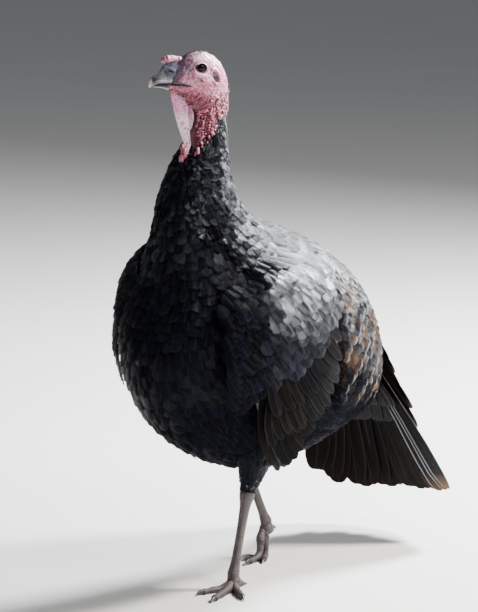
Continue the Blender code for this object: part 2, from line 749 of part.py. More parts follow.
def tail_feather(rng, share, rank, start, length, high, half, spread):
    """One feather of the roof-shaped tail: share runs from -1 on the right to 1 on the left."""
    ahead = Vector((0, math.cos(TAIL_PITCH), math.sin(TAIL_PITCH)))
    above = Vector((0, -math.sin(TAIL_PITCH), math.cos(TAIL_PITCH)))
    angle = TAIL_SPREAD * share
    lie = (ahead * math.cos(angle) + Vector((1, 0, 0)) * math.sin(angle)).normalized()
    root = TAIL_ROOT + ahead * start + Vector((spread * share, 0, 0))
    reach = length * (1 - 0.045 * share * share + rng.uniform(-0.012, 0.012))
    full = TAIL_TIERS[1][2]
    path, facing = [], []
    count = 4 if length == full else 3
    for t in steps(0, 1, count):
        gone = (start + reach * t) / full
        drop = 0.006 * share * share + (TAIL_ROOF * share - TAIL_TILT) * share * gone + TAIL_BOW * gone * gone
        drop += TAIL_STACK * rank * math.copysign(1, high + 0.001)
        path.append(root + lie * reach * t + above * (high * (1 - 0.25 * t) - drop))
        facing.append((above + Vector((0.6 * share * max(gone, 0.0), 0, 0))).normalized())
    return vane(path, facing, half, tip=0.45)


def make_tail(mat, parts):
    """The tail's fleshy root, its roof of feathers, the coverts above and those below."""
    rng = random.Random(21)
    meshes = [tail_core()]
    for count, start, length, high, half, spread in TAIL_TIERS:
        for i in range(count):
            share = 2 * i / (count - 1) - 1
            rank = abs(i - (count - 1) / 2) + (0.5 if i < (count - 1) / 2 else 0.0)
            meshes.append(tail_feather(rng, share, rank, start, length, high, half, spread))
    cut = beyond(trunk_ring(TRUNK_END), Vector((0, -1, 0)), GAP)
    return fuse("tail", meshes, mat, parts, [cut], MANY)


def make_leg(side, feather_mat, scale_mat, claw_mat, parts, cutters):
    hip, hock, ankle = (Vector(table[side]) for table in (HIP, HOCK, ANKLE))
    path = [hip.lerp(hock, t) for t in (0.0, 0.25, 0.5, 0.75, 0.94)]
    thigh = tube(path, [0.036, 0.033, 0.025, 0.016, 0.0105], 14, 1.25)
    thigh_top = fuse(f"thigh_{side}", [thigh], feather_mat, parts, cutters)
    shin = (hock - hip).normalized()
    end = path[-1] + shin * GAP
    path = [end, hock + shin * 0.001, hock.lerp(ankle, 0.06), hock.lerp(ankle, 0.16), hock.lerp(ankle, 0.5),
            hock.lerp(ankle, 0.84), hock.lerp(ankle, 0.94), ankle]
    radii = [0.0100, 0.0112, 0.0108, 0.0080, 0.0064, 0.0068, 0.0084, 0.0090]
    add_object(f"shank_{side}", tube(path, radii, 12), scale_mat, parts)
    make_foot(side, ankle, (path[-1] - path[-2]).normalized(), scale_mat, claw_mat, parts)
    return thigh_top


def toe_mesh(origin, run, length, radius, hub_z, lifted):
    """A toe from the hub down to its own flat on the ground, swollen over each joint."""
    across = Vector((-run.y, run.x, 0))
    tip = radius * 0.68
    drop = hub_z - tip
    spots, sizes, reach = [], [], 0.0
    segments = 7
    height = hub_z
    for k in range(segments + 1):
        t = k / segments
        size = radius * (1 - 0.32 * t) * (1 + 0.14 * math.cos(6 * math.pi * t))
        ease = min(t / (0.8 if lifted else 0.45), 1.0)
        z = max(hub_z - drop * ease * ease * (3 - 2 * ease), size * 0.86)
        if k:
            reach += math.sqrt(max((length / segments) ** 2 - (height - z) ** 2, 1e-8))
        height = z
        spots.append(origin + run * reach + Vector((0, 0, z)))
        sizes.append(size)
    rings = []
    for point, size in zip(spots, sizes):
        ring = []
        for k in range(8):
            angle = 2 * math.pi * (k + 0.5) / 8
            spot = point + across * math.cos(angle) * size + Vector((0, 0, math.sin(angle) * size))
            spot.z = max(spot.z, GROUND)
            ring.append(spot)
        rings.append(ring)
    return loft(rings), spots[-1], sizes[-1], run


def hind_toe(origin, run, length, radius, hub_z):
    """The short toe behind, which reaches the ground only when the foot is flat."""
    low = hub_z < 0.02
    heights = (hub_z, hub_z * 0.8, radius * 0.86) if low else (hub_z, hub_z * 0.98, hub_z * 0.93)
    path = [origin + run * length * k / 2 + Vector((0, 0, z)) for k, z in enumerate(heights)]
    lie = (path[2] - path[1]).normalized()
    return tube(path, [radius, radius * 0.85, radius * 0.72], 8), path[-1], radius * 0.72, lie


def make_foot(side, ankle, shin, scale_mat, claw_mat, parts):
    sign = SIDES[side]
    turned = shin.to_track_quat("Z", "Y").to_matrix()
    ground = Vector((ankle.x, ankle.y, GROUND))
    hub_z = HUB_Z[side]
    meshes = [ball(ground + Vector((0, 0, hub_z)), (0.0100, 0.0110, 0.0098), rings=8, around=10)]
    for name, turn, length, radius in TOES:
        heading = FOOT_TURN[side] + math.radians(turn * (1.0 if name == "hind" else SPLAY[side]))
        run = Vector((math.sin(heading) * sign, -math.cos(heading), 0))
        if name == "hind":
            mesh, end, size, lie = hind_toe(ground, run, length, radius, hub_z)
        else:
            mesh, end, size, lie = toe_mesh(ground, run, length, radius, hub_z, hub_z > 0.02)
        meshes.append(mesh)
        points, sizes = [], []
        for t, share in ((0.0, 0.80), (0.35, 0.66), (0.7, 0.40), (1.0, 0.10)):
            thin = size * share
            drop = 0.0030 * t * t
            spot = end + lie * (GAP + CLAW_LENGTH * t)
            if t:
                spot.z = max(spot.z - drop, GROUND + thin + 0.0002)
            points.append(spot)
            sizes.append(thin)
        add_object(f"claw_{side}_{name}", tube(points, sizes, 6), claw_mat, parts)
    top = [ankle + turned @ Vector((math.cos(a), math.sin(a), 0)) for a in (0.0, 1.57, 3.14, 4.71)]
    cut = beyond(top, -shin, GAP)
    fuse(f"foot_{side}", meshes, scale_mat, parts, [cut])


def swollen_neck():
    """Neck and head with a clearance all round, begun a little inside the trunk."""
    stations = NECK_STATIONS + THROAT_STATIONS[1:] + HEAD_STATIONS[1:]
    rings = [neck_ring(s, swell=CUT_CLEARANCE) for s in stations]
    normal = onward(rings)
    return loft([[p - normal * CUTTER_OVERLAP for p in rings[0]], *rings])


def main():
    clear_scene()
    parts = bpy.data.collections.new("turkey")
    bpy.context.scene.collection.children.link(parts)
    black = make_material("black_feather", (0.012, 0.012, 0.016), 0.42)
    red = make_material("bare_skin", (0.62, 0.16, 0.18), 0.5)
    pink = make_material("head_skin", (0.55, 0.36, 0.38), 0.5)
    horn = make_material("horn", (0.24, 0.22, 0.21), 0.4)
    eye = make_material("eye", (0.02, 0.012, 0.008), 0.1)
    scale = make_material("leg_scale", (0.14, 0.12, 0.12), 0.55)
    claw = make_material("claw", (0.05, 0.045, 0.045), 0.4)
    make_torso(black, parts)
    make_neck(black, parts)
    make_throat(red, parts)
    make_head(pink, parts)
    make_bill(horn, parts, [])
    for side in SIDES:
        mesh = ball(eye_centre(side), [EYE_RADIUS] * 3, rings=8, around=12)
        add_object(f"eye_{side}", mesh, eye, parts)
        make_wing(side, black, parts, [swollen_trunk(), swollen_neck()])
        make_leg(side, black, scale, claw, parts, [swollen_trunk()])
    make_tail(black, parts)
    fuse("snood", [snood_mesh()], red, parts, [swollen_neck(), bill_mesh(BILL_UPPER, True, CUT_CLEARANCE)])
    make_dewlap(red, parts, [swollen_neck()])
    for obj in parts.objects:
        obj.data.transform(Matrix.Translation(-ORIGIN))


main()
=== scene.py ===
"""The looks of a life-size black domestic turkey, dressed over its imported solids, in metres."""

import math

import bmesh
import bpy
import numpy as np
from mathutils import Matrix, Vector


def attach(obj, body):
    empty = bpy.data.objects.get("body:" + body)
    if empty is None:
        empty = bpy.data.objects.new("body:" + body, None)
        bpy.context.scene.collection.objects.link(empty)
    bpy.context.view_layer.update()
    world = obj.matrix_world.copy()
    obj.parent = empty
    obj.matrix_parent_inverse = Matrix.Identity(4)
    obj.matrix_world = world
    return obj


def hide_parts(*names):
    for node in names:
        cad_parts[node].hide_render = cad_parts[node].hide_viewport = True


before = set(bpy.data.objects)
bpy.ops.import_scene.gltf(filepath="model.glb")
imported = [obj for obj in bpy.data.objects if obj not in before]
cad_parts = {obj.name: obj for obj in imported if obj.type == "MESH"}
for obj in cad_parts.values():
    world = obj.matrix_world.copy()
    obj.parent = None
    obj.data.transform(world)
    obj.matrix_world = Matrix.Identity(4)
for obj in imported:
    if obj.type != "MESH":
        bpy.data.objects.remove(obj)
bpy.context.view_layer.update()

# Camera, floor and light.
# The picture is taken from the bird's front left, a little above its back, with a long lens. The floor
# is plain and pale. The light is soft: a strong one from behind the right shoulder, a weak one in front.
AZIMUTH, ELEVATION = math.radians(37.5), math.radians(9.5)
TARGET = Vector((-0.0190, -0.0685, 0.397))
CAMERA_DISTANCE, FRAME_HEIGHT, SENSOR = 4.8, 0.887, 36.0

lens = bpy.data.cameras.new("camera")
lens.sensor_fit = "VERTICAL"
lens.sensor_height = SENSOR
lens.lens = SENSOR * CAMERA_DISTANCE / FRAME_HEIGHT
lens.clip_end = 50
camera = bpy.data.objects.new("camera", lens)
bpy.context.scene.collection.objects.link(camera)
looking = Vector((
    math.sin(AZIMUTH) * math.cos(ELEVATION),
    -math.cos(AZIMUTH) * math.cos(ELEVATION),
    math.sin(ELEVATION),
))
camera.location = TARGET + looking * CAMERA_DISTANCE
camera.rotation_euler = looking.to_track_quat("Z", "Y").to_euler()
bpy.context.scene.camera = camera


def soft_light(name, azimuth, elevation, distance, size, power, colour):
    """An area light that stands round the bird and looks at its body."""
    lamp = bpy.data.lights.new(name, "AREA")
    lamp.size, lamp.energy, lamp.color = size, power, colour
    place = bpy.data.objects.new(name, lamp)
    az, el = math.radians(azimuth), math.radians(elevation)
    way = Vector((math.sin(az) * math.cos(el), -math.cos(az) * math.cos(el), math.sin(el)))
    place.location = TARGET + way * distance
    place.rotation_euler = way.to_track_quat("Z", "Y").to_euler()
    bpy.context.scene.collection.objects.link(place)


soft_light("key_light", 130, 44, 2.6, 0.45, 240, (1.0, 0.97, 0.92))
soft_light("back_light", 178, 38, 2.8, 0.6, 430, (0.95, 0.97, 1.0))
soft_light("front_light", 76, 36, 3.2, 0.8, 80, (1.0, 0.98, 0.96))

sky = bpy.data.worlds.new("sky")
sky.use_nodes = True
sky.node_tree.nodes["Background"].inputs["Color"].default_value = (0.86, 0.90, 0.97, 1)
sky.node_tree.nodes["Background"].inputs["Strength"].default_value = 0.20
bpy.context.scene.world = sky


def material(name, colour, roughness, **more):
    """A material whose even values are set on the shader's own sockets, and its tree and shader."""
    made = bpy.data.materials.new(name)
    made.use_nodes = True
    shader = made.node_tree.nodes["Principled BSDF"]
    shader.inputs["Base Color"].default_value = (*colour, 1)
    shader.inputs["Roughness"].default_value = roughness
    for socket, value in more.items():
        shader.inputs[socket.replace("_", " ")].default_value = value
    return made, made.node_tree, shader


def node(tree, kind, inputs, **settings):
    """One shader node, with values or links on its inputs."""
    made = tree.nodes.new("ShaderNode" + kind)
    for setting, value in settings.items():
        setattr(made, setting, value)
    for socket, value in inputs.items():
        if isinstance(value, bpy.types.NodeSocket):
            tree.links.new(value, made.inputs[socket])
        else:
            made.inputs[socket].default_value = value
    return made


def maths(tree, operation, a, b=0.0, c=0.0, clamp=False):
    return node(tree, "Math", {0: a, 1: b, 2: c}, operation=operation, use_clamp=clamp).outputs[0]


def noise(tree, where, scale, detail=4.0, roughness=0.55):
    return node(tree, "TexNoise",
                {"Vector": where, "Scale": scale, "Detail": detail, "Roughness": roughness}).outputs["Fac"]


def ramp(tree, value, low, high, to_low=0.0, to_high=1.0):
    """A value carried from one range to another, held at the ends."""
    inputs = {"Value": value, "From Min": low, "From Max": high, "To Min": to_low, "To Max": to_high}
    return node(tree, "MapRange", inputs).outputs["Result"]


def mixed(tree, share, a, b, way="MIX"):
    """Two colours mixed by a share."""
    made = tree.nodes.new("ShaderNodeMix")
    made.data_type, made.blend_type = "RGBA", way
    for socket, value in ((made.inputs[0], share), (made.inputs[6], a), (made.inputs[7], b)):
        if isinstance(value, bpy.types.NodeSocket):
            tree.links.new(value, socket)
        elif isinstance(value, tuple):
            socket.default_value = (*value, 1)
        else:
            socket.default_value = value
    return made.outputs[2]


def bump(tree, shader, height, distance, strength=1.0):
    made = node(tree, "Bump", {"Height": height, "Distance": distance, "Strength": strength})
    tree.links.new(made.outputs["Normal"], shader.inputs["Normal"])


def places(tree):
    return node(tree, "TexCoord", {}).outputs["Object"]


def meshed(name, work):
    """A mesh taken over from bmesh work that is done."""
    made = bpy.data.meshes.new(name)
    work.to_mesh(made)
    work.free()
    return made


FLOOR_SIZE = 40.0
floor_mat, tree, shader = material("floor", (0.66, 0.655, 0.64), 0.9)
tree.links.new(
    mixed(tree, noise(tree, places(tree), 3.0), (0.64, 0.635, 0.62), (0.68, 0.675, 0.66)),
    shader.inputs["Base Color"]
)
work = bmesh.new()
bmesh.ops.create_grid(work, x_segments=2, y_segments=2, size=FLOOR_SIZE)
floor_mesh = meshed("floor", work)
floor_mesh.materials.append(floor_mat)
floor = bpy.data.objects.new("floor", floor_mesh)
bpy.context.scene.collection.objects.link(floor)

# Body form.
# The living shape that skin and feathers share: one tube of sections from the brow to the root of the
# tail. Each row is the back's y and z, the front's y and z, half width and share of the head's turn.
ORIGIN = np.array((0.0, 0.0555, 0.014))
NECK_AXIS_Y = -0.10
HEAD_YAW = math.radians(39)
ROUNDNESS = 0.92
NECK = (
    (-0.049, 0.561, 0.109, 0.505, 0.070, 0.0),
    (-0.031, 0.580, 0.100, 0.545, 0.059, 0.05),
    (-0.021, 0.606, 0.088, 0.585, 0.051, 0.15),
    (-0.018, 0.632, 0.070, 0.620, 0.043, 0.3),
    (-0.019, 0.665, 0.047, 0.652, 0.0345, 0.55),
    (-0.020, 0.690, 0.034, 0.682, 0.0275, 0.85),
    (-0.020, 0.712, 0.031, 0.702, 0.0245, 1.0),
    (-0.0215, 0.730, 0.037, 0.716, 0.0235, 1.0),
    (-0.021, 0.748, 0.045, 0.725, 0.0222, 1.0),
    (-0.012, 0.771, 0.052, 0.731, 0.0220, 1.0),
    (0.003, 0.784, 0.057, 0.7345, 0.0215, 1.0),
    (0.019, 0.788, 0.060, 0.7365, 0.0200, 1.0),
    (0.035, 0.784, 0.0615, 0.7375, 0.0165, 1.0),
    (0.0475, 0.7765, 0.063, 0.738, 0.0128, 1.0),
)
TRUNK = (
    (-0.025, 0.545, -0.219, 0.460, 0.088),
    (0.012, 0.535, -0.238, 0.410, 0.110),
    (0.052, 0.520, -0.247, 0.360, 0.123),
    (0.096, 0.503, -0.232, 0.302, 0.129),
    (0.140, 0.479, -0.190, 0.248, 0.128),
    (0.184, 0.451, -0.125, 0.207, 0.121),
    (0.220, 0.416, -0.045, 0.180, 0.111),
    (0.246, 0.376, 0.036, 0.183, 0.097),
    (0.263, 0.333, 0.110, 0.196, 0.078),
    (0.274, 0.292, 0.175, 0.210, 0.055),
    (0.281, 0.257, 0.228, 0.224, 0.032),
)
BODY = np.array(
    [(NECK_AXIS_Y - back, back_z, NECK_AXIS_Y - front, front_z, half, turn)
     for back, back_z, front, front_z, half, turn in reversed(NECK)]
    + [(*row, 0.0) for row in TRUNK]
)
HEAD_BASE, TAIL_ROOT = 6.0, 24.0
TURN = 2 * math.pi


def along(table, s):
    """Rows of a station table read at fractional stations, on a smooth curve through them."""
    s = np.clip(np.asarray(s, float), 0, len(table) - 1)
    i = np.minimum(s.astype(int), len(table) - 2)
    t = (s - i)[..., None]
    p, q, r, v = (table[np.clip(i + k, 0, len(table) - 1)] for k in (-1, 0, 1, 2))
    bend, sway = 2 * p - 5 * q + 4 * r - v, 3 * q - p - 3 * r + v
    return 0.5 * (2 * q + (r - p) * t + bend * t ** 2 + sway * t ** 3)


def turned(side, y, z, share=1.0):
    """Points turned with the head about the neck's axis, in the frame's own coordinates."""
    yaw = HEAD_YAW * share
    ahead = NECK_AXIS_Y - y
    x = side * np.cos(yaw) - ahead * np.sin(yaw)
    y = NECK_AXIS_Y - side * np.sin(yaw) - ahead * np.cos(yaw)
    return np.stack(np.broadcast_arrays(x, y, z), -1) - ORIGIN


def section_at(s, turn):
    """Places on the body form before the head is turned: beside, along, height and share of the turn."""
    back_y, back_z, front_y, front_z, half, share = np.moveaxis(along(BODY, s), -1, 0)
    down = 0.5 - 0.5 * np.cos(turn)
    side = half * np.sign(np.sin(turn)) * np.abs(np.sin(turn)) ** ROUNDNESS
    return side, back_y + (front_y - back_y) * down, back_z + (front_z - back_z) * down, share


def body_at(s, turn):
    """Points of the body form at stations s and turns, nought over the back and growing to the left."""
    return turned(*section_at(s, turn))


def unit(v):
    return v / np.maximum(np.linalg.norm(v, axis=-1, keepdims=True), 1e-12)


def slopes(surface, p, q, step=2e-3):
    """How a surface runs at its points: the point, its two slopes and the way out."""
    along_p = (surface(p + step, q) - surface(p - step, q)) / (2 * step)
    along_q = (surface(p, q + step) - surface(p, q - step)) / (2 * step)
    return surface(p, q), along_p, along_q, unit(np.cross(along_q, along_p))


def smooth(value, low, high):
    t = np.clip((value - low) / (high - low), 0, 1)
    return t * t * (3 - 2 * t)

# Skin.
# One living skin under everything: brow, neck, trunk and tail root in one tube, with the arms of the
# folded wings, the thighs, the beads of the throat and, further down, snood and dewlap grown into it.
# Where plumage covers it, it lies deeper by the plumage.
COAT_DEPTH = np.array(((0.0, 0.0), (7.6, 0.0), (8.6, 0.0015), (12.0, 0.004), (15.0, 0.008), (24.0, 0.009)))


def coat_depth(s):
    return np.interp(s, COAT_DEPTH[:, 0], COAT_DEPTH[:, 1])


def unwrap_of(mesh):
    """The unwrap at the corners of a mesh, and the point that each corner belongs to."""
    flat, corner = np.empty(len(mesh.loops) * 2, np.float32), np.empty(len(mesh.loops), np.int32)
    mesh.uv_layers["OFBake"].uv.foreach_get("vector", flat)
    mesh.loops.foreach_get("vertex_index", corner)
    return flat.reshape(-1, 2), corner


def set_unwrap(mesh, uv):
    mesh.uv_layers["OFBake"].uv.foreach_set("vector", uv.astype(np.float32).ravel())


def shares_of(mesh, patch):
    """The two shares that each point of a laid grid stands at, read back from its unwrap."""
    uv, corner = unwrap_of(mesh)
    shares = np.zeros((len(mesh.vertices), 2))
    shares[corner] = (uv - patch[:2]) / patch[2:]
    return shares


def grid_mesh(name, columns, rows, place, patch=(0.0, 0.0, 1.0, 1.0)):
    """A grid laid over a function of its two shares, welded where its edges meet, with its unwrap."""
    work = bmesh.new()
    work.loops.layers.uv.new("OFBake")
    bmesh.ops.create_grid(work, x_segments=columns, y_segments=rows, size=0.5, calc_uvs=True)
    work.verts.ensure_lookup_table()
    at = np.array([v.co[:2] for v in work.verts]) + 0.5
    for vert, point in zip(work.verts, place(at[:, 0], at[:, 1])):
        vert.co = point
    bmesh.ops.remove_doubles(work, verts=work.verts, dist=1e-6)
    bmesh.ops.recalc_face_normals(work, faces=work.faces)
    made = meshed(name, work)
    set_unwrap(made, unwrap_of(made)[0] * patch[2:] + patch[:2])
    made.shade_smooth()
    return made


def points_of(mesh):
    flat = np.empty(len(mesh.vertices) * 3, np.float32)
    mesh.vertices.foreach_get("co", flat)
    return flat.reshape(-1, 3).astype(float)


def paint(mesh, colours):
    """Keeps a colour, and a fourth value, at every point of a mesh."""
    layer = mesh.color_attributes.new("Marking", "FLOAT_COLOR", "POINT")
    if colours.shape[1] == 3:
        colours = np.c_[colours, np.zeros(len(colours))]
    layer.data.foreach_set("color", colours.astype(np.float32).ravel())


def marking(tree):
    """What paint keeps, as the outputs of a shader node."""
    return node(tree, "Attribute", {}, attribute_name="Marking").outputs


def place_object(name, mesh, mat, nodes=()):
    """A finished piece that rides on the bird and stands for the named solids."""
    made = bpy.data.objects.new(name, mesh)
    bpy.context.scene.collection.objects.link(made)
    mesh.materials.append(mat)
    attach(made, "root")
    if nodes:
        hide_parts(*nodes)
    return made


def joined(name, meshes):
    work = bmesh.new()
    for mesh in meshes:
        work.from_mesh(mesh)
    made = meshed(name, work)
    made.shade_smooth()
    return made


def bare_edge(turn):
    """The station where plumage begins: high on the nape, low on the throat."""
    return 7.6 + 1.3 * smooth(0.5 - 0.5 * np.cos(turn), 0.20, 0.78)


STATION_LIST = np.concatenate([np.linspace(0, HEAD_BASE + 2.6, 250),
                               np.linspace(HEAD_BASE + 2.7, TAIL_ROOT, 60)])
STATION_SHARES = np.linspace(0, 1, len(STATION_LIST))
MOUTH_Z, GAPE_FORWARD, GAPE_DROOP, BILL_ROOT = 0.7436, 0.0312, 0.0044, 0.0590
EYE_FORWARD, EYE_Z, EYE_SIDE, EYE_RADIUS = 0.0192, 0.7666, 0.0143, 0.0074
EAR_FORWARD, EAR_Z, EAR_LEAN = -0.0012, 0.7534, 0.35
WART = (0.0187, 0.7484)
# How far each form of the face stands out, its place ahead and up, its reach along and up, its lean:
# brow, bag under the eye, jowl, wart, lores, crease before the ear, crease under the corner of the mouth.
FACE_FORMS = (
    (0.0013, EYE_FORWARD - 0.001, EYE_Z + 0.0112, 0.0110, 0.0034),
    (0.0024, EYE_FORWARD + 0.001, EYE_Z - 0.0100, 0.0085, 0.0030, 0.2),
    (0.0016, 0.0120, 0.7470, 0.0095, 0.0050, 0.3),
    (0.0010, *WART, 0.0020, 0.0016),
    (-0.0018, 0.0375, 0.7640, 0.0080, 0.0075),
    (-0.0015, 0.0060, 0.7590, 0.0022, 0.0110, -0.25),
    (-0.0008, GAPE_FORWARD - 0.004, MOUTH_Z - 0.0048, 0.0050, 0.0012, 0.5),
)


def hump(forward, z, at_forward, at_z, long, high, lean=0.0):
    """A soft round share, one at a place on the side of the head and falling off round it."""
    a, b = forward - at_forward, z - at_z
    a, b = a * math.cos(lean) + b * math.sin(lean), b * math.cos(lean) - a * math.sin(lean)
    return np.exp(-(a / long) ** 2 - (b / high) ** 2)


def wave(*waves):
    """A sum of slanting waves: length forward, length in height, phase and strength of each."""
    return lambda f, z: sum(k * np.sin(TURN * (f / a + z / b) + c) for a, b, c, k in waves)


folds = wave((0.0310, 0.0067, 0.4, 0.5), (-0.0270, 0.0049, 1.9, 0.4), (0.0170, 0.0094, 3.1, 0.4))
stir = wave((0.0190, 0.0230, 0.3, 1.0), (0.0110, -0.0150, 1.1, 0.7), (-0.0073, 0.0101, 2.0, 0.4))
pucker = wave((0.0047, 0.0110, 0.9, 0.4), (0.0062, -0.0079, 2.2, 0.4), (-0.0035, 0.0052, 4.2, 0.4))


def wrinkle(forward, z):
    """Uneven folds that wander over the jaw and the throat."""
    return folds(forward + 0.0022 * stir(z, forward), z + 0.0020 * stir(forward, z))


def mouth_line(forward):
    return MOUTH_Z - GAPE_DROOP * (np.maximum(BILL_ROOT - forward, 0) / 0.029) ** 2


def lip_width(forward):
    """How thick the lips are along the mouth, thinner towards its corner."""
    return 0.30 + 0.70 * smooth(forward, 0.0295, 0.0490)


def ear_ring(forward, z):
    a, b = forward - EAR_FORWARD, z - EAR_Z
    a, b = a * math.cos(EAR_LEAN) - b * math.sin(EAR_LEAN), a * math.sin(EAR_LEAN) + b * math.cos(EAR_LEAN)
    return np.hypot(a / 0.0044, b / 0.0086)


def head_relief(forward, z, side):
    """How far the skin of the head stands out from its smooth form, by place in the head's side view."""
    gap = z - mouth_line(forward)
    gape = smooth(forward, GAPE_FORWARD - 0.002, GAPE_FORWARD + 0.007)
    lips = (np.exp(-((np.abs(gap) - 0.0021 * lip_width(forward)) / 0.0012) ** 2)
            * smooth(forward, 0.0270, 0.0370))
    ear = ear_ring(forward, z)
    wide = smooth(np.abs(side), 0.006, 0.013)
    face = smooth(z, 0.700, 0.722)
    socket = np.hypot((forward - EYE_FORWARD) / 0.0100, (z - EYE_Z) / 0.0088)
    relief = -0.0040 * smooth(-socket, -1.05, -0.70)
    relief = (relief + sum(high * hump(forward, z, *form) for high, *form in FACE_FORMS)) * wide
    plump = 0.0015 + 0.0003 * stir(2 * forward, 3 * z)
    relief += (plump * lips - 0.0026 * np.exp(-(gap / 0.0007) ** 2) * gape) * wide
    relief += 0.0013 * np.exp(-((ear - 1.35) / 0.26) ** 2) - 0.0042 * smooth(-ear, -1.08, -0.70)
    throat = smooth(-z, -0.7400, -0.7290) * face
    relief += (0.00040 + 0.00060 * throat) * wrinkle(forward, z) * (1 - lips)
    relief += (0.00022 + 0.00030 * throat) * pucker(forward, z) * smooth(z, 0.700, 0.730)
    return relief


def side_of(s, turn):
    """Where a point of the body form lies beside and ahead of the neck's axis, and its height."""
    side, y, z, _share = section_at(s, turn)
    return side, NECK_AXIS_Y - y, z


def skin_place(u, v):
    s = np.interp(v, STATION_SHARES, STATION_LIST)
    turn = u * TURN
    here, _p, _q, out = slopes(body_at, s, turn)
    side, forward, z = side_of(s, turn)
    relief = head_relief(forward, z, side) * smooth(-s, -8.6, -7.4) * smooth(s, 0.0, 0.35)
    ends = np.minimum(v, 1 - v)[:, None] > 1e-6
    middle = (body_at(s, 0 * turn) + body_at(s, 0 * turn + math.pi)) / 2
    return np.where(ends, here + out * (relief - coat_depth(s))[:, None], middle)


# Side view of the folded wing's arm, front to rear: top y, z, bottom y, z, thickness.
WING = np.array((
    (-0.152, 0.455, -0.165, 0.395, 0.010),
    (-0.130, 0.480, -0.163, 0.335, 0.022),
    (-0.100, 0.493, -0.145, 0.285, 0.026),
    (-0.065, 0.494, -0.112, 0.255, 0.023),
    (-0.028, 0.486, -0.075, 0.240, 0.017),
    (0.004, 0.468, -0.038, 0.240, 0.012),
    (0.028, 0.438, 0.000, 0.262, 0.009),
    (0.040, 0.400, 0.030, 0.320, 0.005),
))
WING_SHIFT = {1: (0.0, 0.0), -1: (0.010, 0.024)}
WING_DROP, WING_CROWN = {1: 0.84, -1: 0.98}, 0.6
SIDES = {"left": 1, "right": -1}


def flank(y, z, drop):
    """Half width of the trunk at points of its side view; a drop below one hangs it like a curtain."""
    table = np.array(TRUNK)
    low, high = np.zeros(y.shape), np.full(y.shape, len(table) - 1.0)
    for _ in range(26):
        middle = (low + high) / 2
        back_y, back_z, belly_y, belly_z, _half = np.moveaxis(along(table, middle), -1, 0)
        past = (belly_y - back_y) * (z - back_z) - (belly_z - back_z) * (y - back_y) < 0
        low, high = np.where(past, low, middle), np.where(past, middle, high)
    back_y, back_z, belly_y, belly_z, half = np.moveaxis(along(table, low), -1, 0)
    run_y, run_z = belly_y - back_y, belly_z - back_z
    share = ((y - back_y) * run_y + (z - back_z) * run_z) / (run_y ** 2 + run_z ** 2)
    lean = 1 - 2 * np.clip(share * drop, 0, 1)
    return half * np.sqrt(np.maximum(1 - lean * lean, 0)) ** ROUNDNESS


def curtain(side, y, z):
    return np.maximum(flank(y, z, 1.0), flank(y, z, WING_DROP[side]))


def over_flank(side, y, z, lift):
    """Points over one flank, lifted off the curtain that the hanging wing follows."""
    step = 0.004
    across_y = curtain(side, y + step, z) - curtain(side, y - step, z)
    across_z = curtain(side, y, z - step) - curtain(side, y, z + step)
    along_y = np.stack([across_y, np.full(y.shape, 2 * step), 0 * y], -1)
    down = np.stack([across_z, 0 * y, np.full(y.shape, -2 * step)], -1)
    out = unit(np.cross(down, along_y))
    out *= np.sign(out[..., :1])
    here = np.stack([curtain(side, y, z), y, z], -1) + out * np.asarray(lift)[..., None]
    return (here * (side, 1, 1)) - ORIGIN


def wing_spot(side, a, b):
    """Place in side view, and thickness, of the wing's arm at a station and a share down from its top."""
    top_y, top_z, low_y, low_z, thick = np.moveaxis(along(WING, a), -1, 0)
    b = np.clip(b, 0, 1)
    full = thick * np.sqrt(np.maximum(1 - (2 * b ** WING_CROWN - 1) ** 2, 0))
    shift = WING_SHIFT[side]
    return top_y + (low_y - top_y) * b + shift[0], top_z + (low_z - top_z) * b + shift[1], full


def wing_skin(side):
    def place(u, v):
        a = np.clip(v * 9 - 1, 0, 7)
        b = 1 - np.abs(2 * u - 1)
        y, z, full = wing_spot(side, a, b * 0.96 + 0.02)
        closing = np.clip(np.minimum(v, 1 - v) * 9, 0, 1)
        lift = np.where(u < 0.5, np.maximum(full - 0.011, 0.0) * closing, -0.002)
        mid_y, mid_z, _full = wing_spot(side, a, b * 0 + 0.5)
        y, z = mid_y + (y - mid_y) * closing, mid_z + (z - mid_z) * closing
        return over_flank(side, y, z, lift)
    return place


HIP = {1: (0.053, -0.055, 0.250), -1: (-0.054, 0.000, 0.250)}
HOCK = {1: (0.046, -0.078, 0.154), -1: (-0.044, 0.036, 0.164)}
THIGH = np.array(((0.0, 0.036), (0.25, 0.033), (0.5, 0.025), (0.75, 0.016), (0.94, 0.0105), (1.0, 0.0105)))


def thigh_at(side, s, turn, shrink=0.0):
    """Points of the feathered thigh at a share of its length and a turn about it."""
    hip, hock = np.array(HIP[side]), np.array(HOCK[side])
    run = unit(hock - hip)
    across = unit(np.cross(run, (0.0, 1.0, 0.0)))
    ahead = np.cross(across, run)
    radius = np.interp(s, THIGH[:, 0], THIGH[:, 1]) - shrink
    ring = across * np.cos(turn)[..., None] * radius[..., None]
    ring = ring + ahead * (np.sin(turn) * 1.22 * radius)[..., None]
    return hip + (hock - hip) * s[..., None] + ring - ORIGIN


def thigh_skin(side):
    def place(u, v):
        s = np.clip(v * 1.1 - 0.05, 0.0, 0.975)
        closing = np.clip(np.minimum(v, 1 - v) * 40, 0, 1)
        shrink = np.interp(s, THIGH[:, 0], THIGH[:, 1]) * (1 - closing) + 0.004 * (1 - s) * closing
        return thigh_at(side, s, u * TURN, shrink)
    return place


